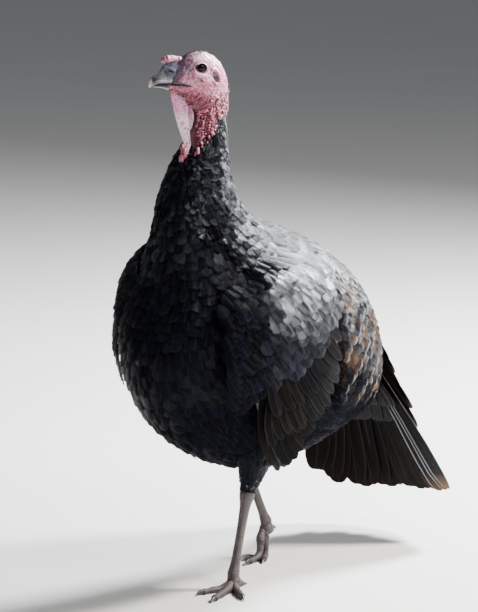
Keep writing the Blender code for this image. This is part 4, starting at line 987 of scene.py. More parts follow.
for side_name, side in SIDES.items():
    meshes = []
    patch_x, patch_y, patch_w, patch_h = WING_PATCH[side]
    shift_y, shift_z = WING_SHIFT[side]
    for order, (tier, count, root_a, root_b, tip_row, half, low, high, hem) in enumerate(WING_TIERS):
        rng = np.random.default_rng(40 + order + side)
        share = np.linspace(0, 1, count)
        root = np.outer(1 - share, root_a) + np.outer(share, root_b) + rng.normal(0, 0.0012, (count, 2))
        tip = along(np.array(tip_row), 4 * share) + rng.normal(0, 0.0022, (count, 2))
        tip = tip + WING_TUCK[side]
        root, tip = root + (shift_y, shift_z), tip + (shift_y, shift_z)
        flight = tier in ("primaries", "secondaries")
        shade = rng.uniform(0, 1, (count, 1))
        tone = BLACK * (1 - shade) + WING_BROWN * 0.35 * shade
        if tier == "primaries":
            tone = tone * 0.4 + WING_BROWN * 0.35
        gloss = (0.002 + 0.09 * share ** 4) * rng.uniform(0.6, 1.3, count)
        patch = (patch_x + patch_w * (0.1 + 0.8 * share),
                 np.full(count, patch_y + patch_h * (0.2 + 0.2 * order)))
        meshes.append(plume(
            tier, side_view(side), (root[:, 0], -root[:, 1]),
            (tip[:, 0] - root[:, 0], root[:, 1] - tip[:, 1]), half, (low, high),
            (tone, tone * 1.6, 0.93, hem * rng.uniform(0.2, 1.2, count), gloss), patch, BROAD,
            (LONG_T, LONG_W), hand=side, seed=order, thick=0.0009, cup=0.13,
            fray=0.05 if flight else 0.035, twist=2.5, tilt=9.0, bow=(-0.010, 0.004)))
    # rows that grow from the side of the breast and the back and lie over the whole arm
    mantle = shoulder(side)
    height, y = np.meshgrid(np.arange(*ROWS_UP), np.arange(*ROWS_ALONG), indexing="ij")
    rng = np.random.default_rng(160 + side)
    height = (height + 0.0050 * (np.arange(y.shape[1]) % 2) + rng.normal(0, 0.0011, y.shape)).ravel()
    y = (y + rng.normal(0, 0.0011, y.shape)).ravel()
    height, y = height + shift_z, y + shift_y
    past, below = y - front_edge(side, height), top_edge(side, y) - height
    lowest = np.interp(y - shift_y, (-0.235, -0.145, -0.095, -0.055, -0.020),
                       (0.30, 0.365, 0.382, 0.405, 0.450))
    keep = (past > -0.052) & (below > -0.020) & (height - shift_z > lowest) & (height < 0.508 + shift_z)
    keep &= y - shift_y < -0.016 - 0.25 * (height - shift_z - 0.44)
    height, y, past, below = height[keep], y[keep], past[keep], below[keep]
    by_height = height - shift_z
    long = (0.034 + 0.010 * smooth(past, -0.01, 0.05)) * rng.uniform(0.88, 1.12, len(y))
    wide = long * 0.30
    long = long * (1 - 0.50 * smooth(-past, -0.010, 0.020) * smooth(by_height, 0.36, 0.42))
    with_body = np.interp(by_height, (0.27, 0.36, 0.45), (52, 62, 74))
    with_wing = np.interp(by_height, (0.27, 0.36, 0.45, 0.50), (70, 64, 50, 36))
    on_wing = smooth(past, -0.035, 0.020)
    lean = np.radians(with_body * (1 - on_wing) + with_wing * on_wing + rng.normal(0, 3.5, len(y)))
    shade = rng.uniform(0, 1, (len(y), 1))
    tone = BLACK * (1 - shade) + BLUE * shade
    high_up, behind = (smooth(by_height + 0.10 * (y - shift_y + 0.10), 0.405, 0.490),
                       smooth(past, -0.012, 0.020))
    glossy_highlit = high_up * behind
    gloss = (0.016 + 0.03 * behind * smooth(by_height, 0.30, 0.38) + 1.0 * glossy_highlit
             + 0.14 * smooth(by_height, 0.42, 0.47) * smooth(past, -0.035, -0.015))
    gloss = gloss * (0.25 + 1.5 * rng.uniform(0, 1, len(y)) ** 1.8)
    # painted highlight: the glossy feathers high on the shoulder are painted a little paler
    tone = tone + 0.024 * glossy_highlit[:, None] * rng.uniform(0.2, 1, (len(y), 1))
    rusty = ((rng.uniform(0, 1, len(y)) < 0.06) * smooth(by_height, 0.37, 0.42) * (past > 0.0)
             * (past < 0.06))[:, None]
    tone = tone * (1 - rusty) + 0.35 * BRONZE * rusty
    gloss = gloss * (1 - 0.6 * rusty[:, 0])
    crevice_shade = parting(y - shift_y + long * np.cos(lean), by_height - long * np.sin(lean))
    # painted shade: feathers in the crease before the wing's bend are painted darker and duller
    gloss, tone = gloss * (1 - 0.95 * crevice_shade), tone * (1 - 0.8 * crevice_shade[:, None])
    # paler hems on the glossy high feathers: partly their own hems, partly painted highlight
    edge = (0.02 + 0.14 * glossy_highlit) * (1 - crevice_shade) * rng.uniform(0.1, 1.2, len(y))
    along_arm, up_arm = (y - shift_y - ROWS_ALONG[0]) / 0.30, (by_height - ROWS_UP[0]) / 0.27
    patch = (patch_x + patch_w * np.clip(along_arm, 0, 1), patch_y + patch_h * np.clip(up_arm, 0, 1))
    mantle_mesh = plume(
        f"shoulder_feathers_{side_name}", mantle, (y, -height), (long * np.cos(lean), long * np.sin(lean)),
        wide, (-0.0040, 0.0016), (tone, tone * 1.7, 0.9, edge, gloss), patch, hand=side, seed=8, twist=4.0)
    place_object(mantle_mesh.name, mantle_mesh, feather_mat)
    place_object(f"wing_quills_{side_name}", joined(f"wing_quills_{side_name}", meshes[:2]), feather_mat)
    place_object(f"wing_coverts_{side_name}", joined(f"wing_coverts_{side_name}", meshes[2:]), feather_mat)

# Thigh feathers.
# The trousers: soft short black feathers down to the hock, pointing down and a little back.
THIGH_ROW_GAP, THIGH_SIDE_GAP, THIGH_LONG, THIGH_HALF = 0.0080, 0.0095, 0.024, 0.0062
for side_name, side in SIDES.items():
    surface = (lambda side: lambda s, turn: thigh_at(side, s, turn))(side)
    p, q = quincunx(surface, 0.20, 0.90, lambda s: THIGH_ROW_GAP, lambda s: THIGH_SIDE_GAP, seed=9)
    _here, along_p, _q, _out = slopes(surface, p, q)
    rng = np.random.default_rng(80 + side)
    run_p = THIGH_LONG * rng.uniform(0.85, 1.15, len(p)) / np.linalg.norm(along_p, axis=1)
    run_p = np.minimum(run_p, 0.985 - p)
    shade = rng.uniform(0, 1, (len(p), 1))
    tone = BLACK * (1 - shade) + BLUE * shade
    px, py, pw, ph = THIGH_PATCH[side]
    mesh = plume(f"thigh_feathers_{side_name}", surface, (p, q), (run_p, 0 * p), THIGH_HALF,
                 (-0.0045, 0.0008),
                 (tone, tone * 1.6, 0.9, rng.uniform(0, 0.12, len(p)), 0.06),
                 (px + pw * q / TURN, py + ph * p), hand=-1, seed=2, twist=7.0, fray=0.08)
    place_object(f"thigh_feathers_{side_name}", mesh, feather_mat)

# Tail.
# Eighteen broad stiff quills in a low roof, black-brown with fine brown mottling and pale brown ends,
# and over and under their roots the tail coverts, the upper ones bronze with broad pale grey ends.
TAIL_BASE = np.array((0.0, 0.229, 0.336))
TAIL_PITCH, TAIL_SPREAD = math.radians(-60), math.radians(18)
TAIL_ROOF, TAIL_TILT, TAIL_BOW, TAIL_STACK, TAIL_LONG = 0.022, 0.018, 0.012, 0.0011, 0.288


def tail_roof(p, share):
    """The tail's low roof by distance from its root and share across it, right to left."""
    p, share = np.broadcast_arrays(np.asarray(p, float), np.asarray(share, float))
    gone = p / TAIL_LONG
    angle = TAIL_SPREAD * share
    drop = 0.006 * share ** 2 + (TAIL_ROOF * share - TAIL_TILT) * share * gone + TAIL_BOW * gone ** 2
    down_y, down_z = np.cos(TAIL_PITCH), np.sin(TAIL_PITCH)
    x = 0.036 * share + p * np.sin(angle)
    y = TAIL_BASE[1] + down_y * p * np.cos(angle) + down_z * drop
    z = TAIL_BASE[2] + down_z * p * np.cos(angle) - down_y * drop
    return np.stack([x, y, z], -1) - ORIGIN


QUILL_T = np.array((0, 0.06, 0.15, 0.27, 0.40, 0.54, 0.68, 0.80, 0.89, 0.95, 0.985, 1.0))
QUILL_W = np.array((0.30, 0.45, 0.62, 0.76, 0.87, 0.95, 1.0, 1.0, 0.95, 0.80, 0.55, 0.25))
# Kind, how many, start past the root, length, lift, half width, and share across of the outermost.
TAIL_TIERS = (
    ("under", 9, 0.020, 0.100, -0.024, 0.0150, 0.90),
    ("under", 8, 0.035, 0.120, -0.014, 0.0150, 0.80),
    ("quill", 18, 0.000, 0.288, 0.000, 0.0190, 1.0),
    ("upper", 13, 0.020, 0.150, 0.006, 0.0190, 0.96),
    ("upper", 12, 0.008, 0.128, 0.012, 0.0185, 0.96),
    ("upper", 12, 0.000, 0.104, 0.018, 0.0180, 0.95),
    ("upper", 11, -0.008, 0.082, 0.023, 0.0175, 0.94),
    ("upper", 11, -0.014, 0.064, 0.027, 0.0170, 0.92),
)
TAIL_BLACK, TAIL_BROWN, TAIL_END = (np.array(c) for c in ((0.0022, 0.0019, 0.0020), (0.0048, 0.0032, 0.0026),
                                                          (0.22, 0.125, 0.070)))
meshes = {"quill": [], "covert": []}
for order, (kind, count, start, length, high, half, span) in enumerate(TAIL_TIERS):
    rng = np.random.default_rng(90 + order)
    share = np.linspace(-span, span, count)
    rank = np.abs(share) * count / 2
    reach = (length * (1 - 0.045 * share ** 2 - 0.10 * smooth(-share, 0.55, 1.0)
                       + rng.uniform(-0.010, 0.010, count)))
    stack = TAIL_STACK * rank * np.sign(high + 0.001)
    shade = rng.uniform(0, 1, (count, 1))
    hem = rng.uniform(0.02, 0.12, count)
    if kind == "quill":
        tone = TAIL_BLACK * (1 - shade) + TAIL_BROWN * shade * 0.7
        reddish = smooth(share, 0.45, 1.0)[:, None]
        end = TAIL_END * (0.03 + 0.97 * reddish) * rng.uniform(0.5, 1.0, (count, 1))
        end_from = 0.950
        hem = np.where(share > 0.72, 1.1, 0.4 * hem)
    elif kind == "upper":
        tone = BLACK + BRONZE * 0.9 * smooth(shade, 0.3, 0.9)
        end, end_from = GREY * rng.uniform(0.22, 0.62, (count, 1)), 0.90
    else:
        tone = TAIL_BLACK * (0.7 + 0.6 * shade)
        end, end_from = tone * 3, 0.9
    px, py, pw, ph = TAIL_PATCH
    patch = (px + pw * (0.5 + 0.45 * share), np.full(count, py + ph * (0.08 + 0.11 * order)))
    meshes["quill" if kind == "quill" else "covert"].append(plume(
        kind, tail_roof, (np.full(count, start), share), (reach, 0 * share), half,
        (high - stack, high * 0.75 - stack),
        (tone, end, end_from, hem, 0.02 if kind == "quill" else 0.08), patch, BROAD, (QUILL_T, QUILL_W),
        seed=order, thick=0.0010, cup=0.10, fray=0.035, twist=1.5))
tail_mat = feather_material("tail_feather", 0.42, (1.0, 0.95, 0.88), (0.56, 0.48, 0.42))
place_object("tail_feathers", joined("tail_feathers", meshes["quill"]), tail_mat, ("tail",))
place_object("tail_coverts", joined("tail_coverts", meshes["covert"]), feather_mat)

# Eyes and lids.
# Dark brown wet eyes, each held by an upper and a lower lid: thin soft rims that lie on the ball and
# run out into the skin, the upper one heavier and paler.
eye_mat, tree, shader = material("eye", (0.01, 0.005, 0.004), 0.05, Specular_IOR_Level=0.12, Coat_Weight=0.07,
                                 Coat_Roughness=0.02)
marks = marking(tree)
streak = noise(tree, places(tree), 700.0, 4.0)
tree.links.new(
    mixed(tree, ramp(tree, streak, 0.35, 0.7, 0.0, 0.5), marks["Color"], (0.012, 0.006, 0.004)),
    shader.inputs["Base Color"])
LID_LONG, LID_HIGH = 0.0069, 0.0059
PUPIL, IRIS, EYE_RIM, LID_PALE = (np.array(c) for c in ((0.0015, 0.0015, 0.0018), (0.010, 0.0048, 0.0032),
                                                        (0.004, 0.003, 0.003), (0.78, 0.66, 0.58)))
HEAD_SIDE = turned(1.0, NECK_AXIS_Y, 0.0) - turned(0.0, NECK_AXIS_Y, 0.0)
HEAD_AHEAD = turned(0.0, NECK_AXIS_Y - 1.0, 0.0) - turned(0.0, NECK_AXIS_Y, 0.0)


def in_head(side, forward, z):
    """A point given beside and ahead of the neck's axis, turned with the head."""
    return turned(side, NECK_AXIS_Y - forward, z)


def lid_place(side):
    def place(u, v):
        angle = u * TURN
        over = np.maximum(np.sin(angle), 0)
        corner_cut = 1 - 0.10 * np.abs(np.cos(angle)) ** 6
        # across the lid: from inside the ball's edge, over the rim, out into the skin
        spread = np.interp(v, (0, 0.25, 0.55, 1.0), (0.94, 1.0, 1.18, 1.62))
        f = np.cos(angle) * LID_LONG * spread
        z = np.sin(angle) * (LID_HIGH * corner_cut) * spread + 0.0002
        dome = np.sqrt(np.maximum((EYE_RADIUS + 0.0002) ** 2 - f ** 2 - z ** 2, 0.0)) * 0.98
        rim = (np.interp(v, (0, 0.12, 0.35, 0.65, 1.0), (-0.0004, 0.0002, 0.0011, 0.0003, -0.0016)) + 0.0005
               * over * (v < 0.8))
        fold = 0.00016 * np.sin(v * 19) * (v > 0.4)
        out = np.where(v < 0.35, dome + rim, np.interp(v, (0.35, 1.0), (0.0052, 0.0040)) + rim + fold)
        ring = in_head(0.0, EYE_FORWARD, EYE_Z)
        return (ring + HEAD_SIDE * side * (EYE_SIDE + out)[:, None] + HEAD_AHEAD * f[:, None]
                + np.array((0, 0, 1.0)) * z[:, None])
    return place


for side_name, side in SIDES.items():
    centre = in_head(EYE_SIDE * side, EYE_FORWARD, EYE_Z)
    work = bmesh.new()
    bmesh.ops.create_uvsphere(work, u_segments=48, v_segments=32, radius=EYE_RADIUS)
    bmesh.ops.translate(work, verts=work.verts, vec=Vector(centre))
    ball = meshed("eye", work)
    ball.shade_smooth()
    gaze = unit(HEAD_SIDE * side + HEAD_AHEAD * 0.12)
    facing = (points_of(ball) - centre) @ gaze / EYE_RADIUS
    paint(ball, dyed(EYE_RIM, (IRIS, smooth(facing, 0.50, 0.62)), (PUPIL, smooth(facing, 0.80, 0.86))))
    place_object(f"eyeball_{side_name}", ball, eye_mat, (f"eye_{side_name}",))
    lids = grid_mesh("lids", 64, 14, lid_place(side))
    off = points_of(lids) - centre
    ahead, up = off @ HEAD_AHEAD, off[:, 2]
    reach = np.hypot(ahead / LID_LONG, up / LID_HIGH)
    paint(lids, dyed(
        FACE * 0.85,
        (LORES * 2.2, 0.8 * smooth(-up, 0.0, 0.0035) * smooth(-reach, -1.35, -1.15)),
        (LID_PALE, smooth(up, 0.001, 0.0035) * smooth(-reach, -1.42, -1.28)),
        (LIP * 0.3, smooth(-reach, -1.15, -1.06)),
        (LORES * 0.25, smooth(ahead, 0.0056, 0.0070) * smooth(-reach, -1.5, -1.2))))
    place_object(f"lids_{side_name}", lids, skin_mat)

# Bill.
# Two horn sheaths over the jaws: the upper one with a soft blue-grey cere and a slit nostril at its
# root, a rounded ridge and a pale hooked tip; the lower one narrower, closed against it.
BILL_UPPER = np.array((
    (0.0481, 0.7765, 0.0610, 0.7440, 0.0124),
    (0.0600, 0.7727, 0.0655, 0.7439, 0.0110),
    (0.0702, 0.7692, 0.0722, 0.7437, 0.0090),
    (0.0762, 0.7605, 0.0770, 0.7433, 0.0070),
    (0.0830, 0.7562, 0.0818, 0.7424, 0.0055),
    (0.0888, 0.7512, 0.0872, 0.7402, 0.0036),
    (0.0920, 0.7435, 0.0908, 0.7380, 0.0014),
))
BILL_LOWER = np.array((
    (0.0605, 0.7433, 0.0648, 0.7352, 0.0110),
    (0.0668, 0.7433, 0.0690, 0.7370, 0.0092),
    (0.0740, 0.7430, 0.0745, 0.7382, 0.0066),
    (0.0815, 0.7421, 0.0815, 0.7390, 0.0036),
    (0.0850, 0.7409, 0.0848, 0.7390, 0.0013),
))
NOSTRIL = (0.0622, 0.7622)


def bill_place(table, upper):
    def place(u, v):
        s = np.clip(v * 1.04 - 0.02, 0, 1) * (len(table) - 1)
        top_f, top_z, low_f, low_z, half = np.moveaxis(along(table, s), -1, 0)
        turn = u * TURN
        down = 0.5 - 0.5 * np.cos(turn)
        down = np.minimum(down * 1.08, 1.0) if upper else np.maximum(down * 1.08 - 0.08, 0.0)
        side = half * np.sign(np.sin(turn)) * np.abs(np.sin(turn)) ** 0.8
        forward, z = top_f + (low_f - top_f) * down, top_z + (low_z - top_z) * down
        if upper:
            cere = hump(forward, z, 0.0610, 0.7620, 0.0085, 0.0070)
            pit = hump(forward, z, *NOSTRIL, 0.0040, 0.0013, 0.35) * smooth(np.abs(side), 0.003, 0.006)
            flap = hump(forward, z, NOSTRIL[0] - 0.0004, NOSTRIL[1] + 0.0026, 0.0050, 0.0014, 0.35)
            grow = 1 + 0.14 * cere + 0.12 * flap - 0.40 * pit
            groove = np.exp(-((forward - 0.0690 - 0.35 * (z - 0.755)) / 0.0011) ** 2)
            side = side * (grow - 0.06 * groove)
        closing = np.where(np.minimum(v, 1 - v) < 1e-6, 0.0, 1.0)
        ragged = 0.0011 * np.sin(z * 620) + 0.0008 * np.sin(z * 1490 + 1.0)
        forward = forward + ragged * smooth(-v, -0.06, -0.01) * (0.9 if upper else 0.0)
        mid_f, mid_z = (top_f + low_f) / 2, (top_z + low_z) / 2
        return in_head(side * closing, mid_f + (forward - mid_f) * closing, mid_z + (z - mid_z) * closing)
    return place


horn_mat, tree, shader = material("bill_horn", (0.2, 0.18, 0.18), 0.34, Coat_Weight=0.35, Coat_Roughness=0.22,
                                  Subsurface_Weight=0.10, Subsurface_Scale=0.003)
marks = marking(tree)
where = places(tree)
grain = noise(tree, where, 340.0, 6.0, 0.65)
blotch = noise(tree, where, 110.0, 4.0)
toned = mixed(tree, ramp(tree, blotch, 0.40, 0.58, 0.0, 0.9), marks["Color"], (0.10, 0.09, 0.11),
              "SOFT_LIGHT")
tree.links.new(mixed(tree, ramp(tree, grain, 0.52, 0.72, 0.0, 0.45), toned, (0.035, 0.030, 0.032)),
               shader.inputs["Base Color"])
tree.links.new(ramp(tree, grain, 0.3, 0.7, 0.26, 0.52), shader.inputs["Roughness"])
leather = noise(tree, where, 520.0, 3.0, 0.5)
rough_height = maths(tree, "MULTIPLY_ADD", maths(tree, "MULTIPLY", leather, marks["Alpha"]), 3.0, grain)
bump(tree, shader, rough_height, 0.0004, 0.7)
CERE, HORN, HORN_DARK, HORN_TIP = (np.array(c) for c in (
    (0.085, 0.096, 0.145), (0.165, 0.155, 0.185), (0.026, 0.023, 0.030), (0.62, 0.54, 0.42)))


def ahead_of(at):
    """How far ahead of the neck's axis points of the turned head lie, and their height."""
    from_axis = at + ORIGIN - (0, NECK_AXIS_Y, 0)
    return from_axis @ HEAD_AHEAD, at[:, 2] + ORIGIN[2]


upper_bill = grid_mesh("bill", 96, 90, bill_place(BILL_UPPER, True))
forward, z = ahead_of(points_of(upper_bill))
back = 0.35 * (z - 0.755) - forward
flecks = smooth(stir(4 * forward, 4 * z) + 0.6 * stir(7 * z, 6 * forward), 0.4, 1.4)
colours = dyed(
    HORN,
    (CERE, 0.95 * smooth(back, -0.0700, -0.0665) * smooth(z, 0.7480, 0.7540)),
    (LORES * 1.7, 0.8 * flecks * smooth(-forward, -0.0640, -0.0560)),
    (HORN_DARK, 0.95 * hump(forward, z, 0.0838, 0.7505, 0.0055, 0.0045, -0.6)),
    # painted shade: the nostril's pit is painted near black
    (HORN_DARK * 0.35, 0.95 * hump(forward, z, *NOSTRIL, 0.0042, 0.0015, 0.35)),
    # pale streaks above the cutting edge and along the ridge: partly the horn's own paler colour, partly
    # painted highlight
    (HORN * 2.6, 0.8 * np.exp(-((z - 0.7480) / 0.0018) ** 2) * smooth(-forward, -0.084, -0.078)),
    (HORN * 2.2, 0.7 * hump(forward, z, 0.0800, 0.7570, 0.0070, 0.0016, -0.55)),
    (HORN_DARK, 0.7 * np.exp(-((z - 0.7438) / 0.0010) ** 2) * smooth(-forward, -0.086, -0.080)),
    (HORN_TIP, smooth(forward, 0.0862, 0.0900)))
soft = smooth(back, -0.0740, -0.0690) * smooth(z, 0.7470, 0.7540)
paint(upper_bill, np.c_[colours, soft])
place_object("upper_bill", upper_bill, horn_mat, ("bill_upper",))
lower_bill = grid_mesh("bill", 64, 60, bill_place(BILL_LOWER, False))
forward, z = ahead_of(points_of(lower_bill))
# painted shade: the lower bill, lying under the upper one, is painted in a darker copy of the horn, its tip
# darker too
paint(lower_bill, dyed(
    HORN * 0.55, (HORN_TIP * 0.6, smooth(forward, 0.0790, 0.0840)),
    (JAW * 0.8, 0.6 * smooth(-forward, -0.0680, -0.0630))))
place_object("lower_bill", lower_bill, horn_mat, ("bill_lower",))

# Snood.
# A short soft nub of pink skin that lies forward over the root of the bill, ringed with fine wrinkles,
# with a few stiff dark bristles at its tip.
SNOOD = np.array(((-0.18, 0.86), (0.0, 0.98), (0.12, 0.92), (0.28, 0.84), (0.50, 1.06), (0.68, 1.16),
                  (0.82, 0.98), (0.94, 0.62), (1.0, 0.24)))
SNOOD_ROOT, SNOOD_LENGTH, SNOOD_RADIUS = (0.0460, 0.7758), 0.0280, 0.0050


def snood_place(u, v):
    t = SNOOD[0, 0] + (1 - SNOOD[0, 0]) * v
    radius = SNOOD_RADIUS * np.interp(t, SNOOD[:, 0], SNOOD[:, 1])
    radius = (radius * (1 + 0.05 * np.sin(t * 23 + 1.5 * np.sin(t * 9)) + 0.09 * np.sin(u * TURN * 2 + t * 9)
                        * np.sin(t * 13)))
    radius = np.where(np.minimum(v, 1 - v) < 1e-6, 0.0, radius)
    turn = u * TURN
    rise = 0.0026 * smooth(t, -0.15, 0.40) - 0.0022 * smooth(t, 0.45, 1.0)
    return in_head(radius * 1.08 * np.sin(turn), SNOOD_ROOT[0] + SNOOD_LENGTH * t,
                   SNOOD_ROOT[1] + rise + radius * np.cos(turn))


snood = grid_mesh("snood", 40, 60, snood_place, SNOOD_PATCH)
forward, z = ahead_of(points_of(snood))
# pink, paler along its top as a painted highlight, deeper pink towards the tip
paint(snood, dyed(
    FACE * 1.05, (CROWN * 1.1, smooth(z, 0.781, 0.786)),
    (NECK_RED * 1.2, 0.6 * smooth(forward, 0.060, 0.070))))

# Dewlap.
# The hanging front fold of the throat: thin, wrinkled lengthwise and beaded, pale pink, with deeper
# pink lobes at its lower end. It grows out of the chin and the front of the neck.
DEWLAP = np.array((
    (0.7385, 0.0430, 0.0600, 0.0045, 1.0),
    (0.7300, 0.0400, 0.0608, 0.0030, 1.0),
    (0.7180, 0.0345, 0.0590, 0.0026, 0.95),
    (0.7000, 0.0320, 0.0561, 0.0028, 0.85),
    (0.6820, 0.0348, 0.0527, 0.0030, 0.68),
    (0.6660, 0.0378, 0.0508, 0.0032, 0.48),
    (0.6520, 0.0397, 0.0511, 0.0030, 0.26),
    (0.6440, 0.0440, 0.0512, 0.0018, 0.15),
))


def dewlap_place(u, v):
    z, rear, front, half, share = np.moveaxis(along(DEWLAP, v * (len(DEWLAP) - 1)), -1, 0)
    turn = u * TURN
    forward = (rear + front) / 2 - (front - rear) / 2 * np.cos(turn)
    drape = 0.0250 * np.sqrt(np.maximum(1 - ((forward - 0.0055) / 0.0300) ** 2, 0)) + 0.0020
    sway = drape * smooth(-z, -0.722, -0.700) * smooth(z, 0.640, 0.662) + 0.0012 * np.sin(v * 8.0)
    thick = (half * (1 + 0.16 * np.sin(forward * 1900 + 3 * np.sin(v * 9))
                     + 0.10 * np.sin(v * 95 + forward * 420)))
    closing = np.where(np.minimum(v, 1 - v) < 1e-6, 0.0, 1.0)
    middle = (rear + front) / 2
    side = thick * np.sin(turn) * closing + sway
    return turned(side, NECK_AXIS_Y - middle - (forward - middle) * closing, z, share)


dewlap_parts = [grid_mesh("dewlap", 72, 110, dewlap_place, DEWLAP_PATCH)]
at = points_of(dewlap_parts[0])
forward, z = ahead_of(at)
ripples = np.sin(1500 * forward + 9 * np.sin(210 * z)) + 0.8 * np.sin(900 * z + 700 * forward)
streaks = smooth(ripples, 0.3, 1.6)
# magenta above and near white below; the pale lower part is partly the fold's own paler colour, partly
# painted highlight
DEWLAP_UPPER, DEWLAP_LOWER_PALE_AND_LIT = np.array((0.80, 0.47, 0.62)), np.array((0.97, 0.82, 0.87))
colours = [dyed(
    DEWLAP_UPPER, (DEWLAP_LOWER_PALE_AND_LIT, smooth(-z, -0.708, -0.690)), (JAW, smooth(z, 0.722, 0.734)),
    (JAW * 1.1, 0.35 * streaks))]
rng = np.random.default_rng(77)
UP, SMALL_BEADS = np.array((0, 0, 1.0)), 150
# Beside and ahead of the neck's axis, height, share of the head's turn, radius and half height.
LOBES = [(0.000, 0.0560, 0.6470, 0.15, 0.0040, 0.0095), (0.015, 0.0440, 0.6500, 0.15, 0.0030, 0.0070),
         (-0.004, 0.0540, 0.6530, 0.18, 0.0034, 0.0070), (0.012, 0.0460, 0.6460, 0.15, 0.0026, 0.0055),
         (-0.002, 0.0600, 0.6410, 0.15, 0.0036, 0.0055)]
for k, (side, forward, z, share, radius, high) in enumerate(LOBES):
    spot = turned(side, NECK_AXIS_Y - forward, z, share)
    root_uv = (DEWLAP_PATCH[0] + 0.01 * k + 0.006, DEWLAP_PATCH[1] + 0.97 * DEWLAP_PATCH[3])
    dewlap_parts.append(caruncle(spot, np.array((1.0, 0, 0)), UP, (high, radius, radius), 200 + k, root_uv))
    colours.append(np.tile((NECK_RED * 1.1 + FACE * 0.25) * rng.uniform(0.8, 1.1),
                           (len(dewlap_parts[-1].vertices), 1)))
for k in range(SMALL_BEADS):
    v, front = rng.uniform(0.03, 0.95), rng.uniform(0.1, 0.9)
    turn_share = math.acos(1 - 2 * front) / TURN
    turn_share = turn_share if k % 2 else 1 - turn_share
    spot = dewlap_place(np.array([turn_share]), np.array([v]))[0]
    out = HEAD_SIDE * (1 if math.sin(turn_share * TURN) > 0 else -1)
    radius = rng.uniform(0.0006, 0.0013)
    root_uv = (DEWLAP_PATCH[0] + DEWLAP_PATCH[2] * turn_share, DEWLAP_PATCH[1] + DEWLAP_PATCH[3] * v)
    dewlap_parts.append(caruncle(spot, out, UP, (radius * 1.5, radius, radius * 0.6), 300 + k, root_uv, 2))
    colours.append(np.tile(FACE * rng.uniform(0.8, 1.1), (len(dewlap_parts[-1].vertices), 1)))
dewlap = joined("dewlap", dewlap_parts)
paint(dewlap, np.concatenate(colours))
# all the flesh is one skin, with the snood and the dewlap grown into it
place_object("skin", joined("skin", [skin_mesh, snood, dewlap]), skin_mat,
             ("torso", "neck", "head", "throat",
             "thigh_left", "thigh_right", "wing_left", "wing_right", "snood", "dewlap"))

# Bristles.
# Short stiff hair-like feathers: dark ones over the brow and at the tip of the snood, fine pale down on
# the crown and fine dark down on the nape.
def bristles(name, surface, spots, long, rise, half, colour, patch, seed):
    """A scatter of bristles: where they root, the way they lie, how far they stand off and their colour."""
    rng = np.random.default_rng(seed)
    p, q = spots
    count = len(p)
    _here, along_p, along_q, _out = slopes(surface, p, q, 1e-3)
    angle = rng.normal(0, 0.5, count)
    reach = long * rng.uniform(0.6, 1.3, count)
    ways = (reach * np.cos(angle) / np.linalg.norm(along_p, axis=1),
            reach * np.sin(angle) / np.linalg.norm(along_q, axis=1))
    tone = colour * rng.uniform(0.6, 1.4, (count, 1))
    return plume(name, surface, (p, q), ways, half * rng.uniform(0.7, 1.2, count),
                 (-0.0006, rise * rng.uniform(0.4, 1.3, count)), (tone, tone, 0.9, 0.0, 0.0), patch,
                 rings=(BRISTLE_T, BRISTLE_W), seed=seed,
                 thick=half * 0.8, cup=0.0, fray=0.0, length_power=1.3)


BRISTLE_T, BRISTLE_W = np.array((0, 0.3, 0.65, 1.0)), np.array((1.0, 0.9, 0.6, 0.12))
BROW_COUNT, CROWN_COUNT, NAPE_COUNT, SNOOD_COUNT = 260, 420, 160, 16
DARK_HAIR, PALE_HAIR = np.array((0.012, 0.010, 0.012)), np.array((0.42, 0.36, 0.36))
rng = np.random.default_rng(21)
brow = rng.uniform(0.05, 2.2, BROW_COUNT), rng.normal(0, 0.50, BROW_COUNT) % TURN
crown = rng.uniform(0.6, 6.4, CROWN_COUNT), rng.normal(0, 0.75, CROWN_COUNT) % TURN
nape = rng.uniform(3.0, 8.0, NAPE_COUNT), rng.normal(0, 0.9, NAPE_COUNT) % TURN
head_bristles = joined("head_bristles", [
    bristles("brow", body_at, brow, 0.0055, 0.0022, 0.00026, DARK_HAIR, body_patch(*brow), 1),
    bristles("crown", body_at, crown, 0.0030, 0.0018, 0.00011, PALE_HAIR, body_patch(*crown), 2),
    bristles("nape", body_at, nape, 0.0034, 0.0022, 0.00014, DARK_HAIR * 2, body_patch(*nape), 3),
])
bristle_mat, tree, shader = material("bristle", (0.02, 0.02, 0.02), 0.5, Specular_IOR_Level=0.3)
marks = marking(tree)
tint = noise(tree, places(tree), 500.0, 2.0)
tree.links.new(mixed(tree, ramp(tree, tint, 0.3, 0.7, 0.0, 0.3), marks["Color"], (0.10, 0.08, 0.08)),
               shader.inputs["Base Color"])
place_object("head_bristles", head_bristles, bristle_mat)


def along_snood(p, q):
    return snood_place(q / TURN, p)


tip_p, tip_q = rng.uniform(0.72, 0.90, SNOOD_COUNT), rng.uniform(0, TURN, SNOOD_COUNT)
snood_bristles = bristles("snood_bristles", along_snood, (tip_p, tip_q), 0.0045, 0.0020, 0.00016, DARK_HAIR,
                          (0.5 + 0.1 * tip_p, 0.1 * tip_q), 4)
place_object("snood_bristles", snood_bristles, bristle_mat)

# Legs and feet.
# Slender shanks and long toes in slate-grey horny skin: two rows of broad overlapping plates down the
# front of the shank, one over each toe, small round scales behind and below, and blunt dark claws.
ANKLE = {1: (0.036, -0.098, 0.036), -1: (-0.041, 0.082, 0.070)}
HUB_HEIGHT, SPLAY, FOOT_TURN = ({1: 0.0115, -1: 0.0455}, {1: 1.0, -1: 0.72},
                                {1: math.radians(14), -1: math.radians(-6)})
TOES = (("inner", -32, 0.052, 0.0062), ("middle", 2, 0.072, 0.0068), ("outer", 36, 0.056, 0.0062),
        ("hind", 172, 0.024, 0.0050))
CLAW_LONG, CLAW_GAP, BALL_OF_FOOT = 0.015, 0.0003, (0.0104, 0.0098, 0.0094)
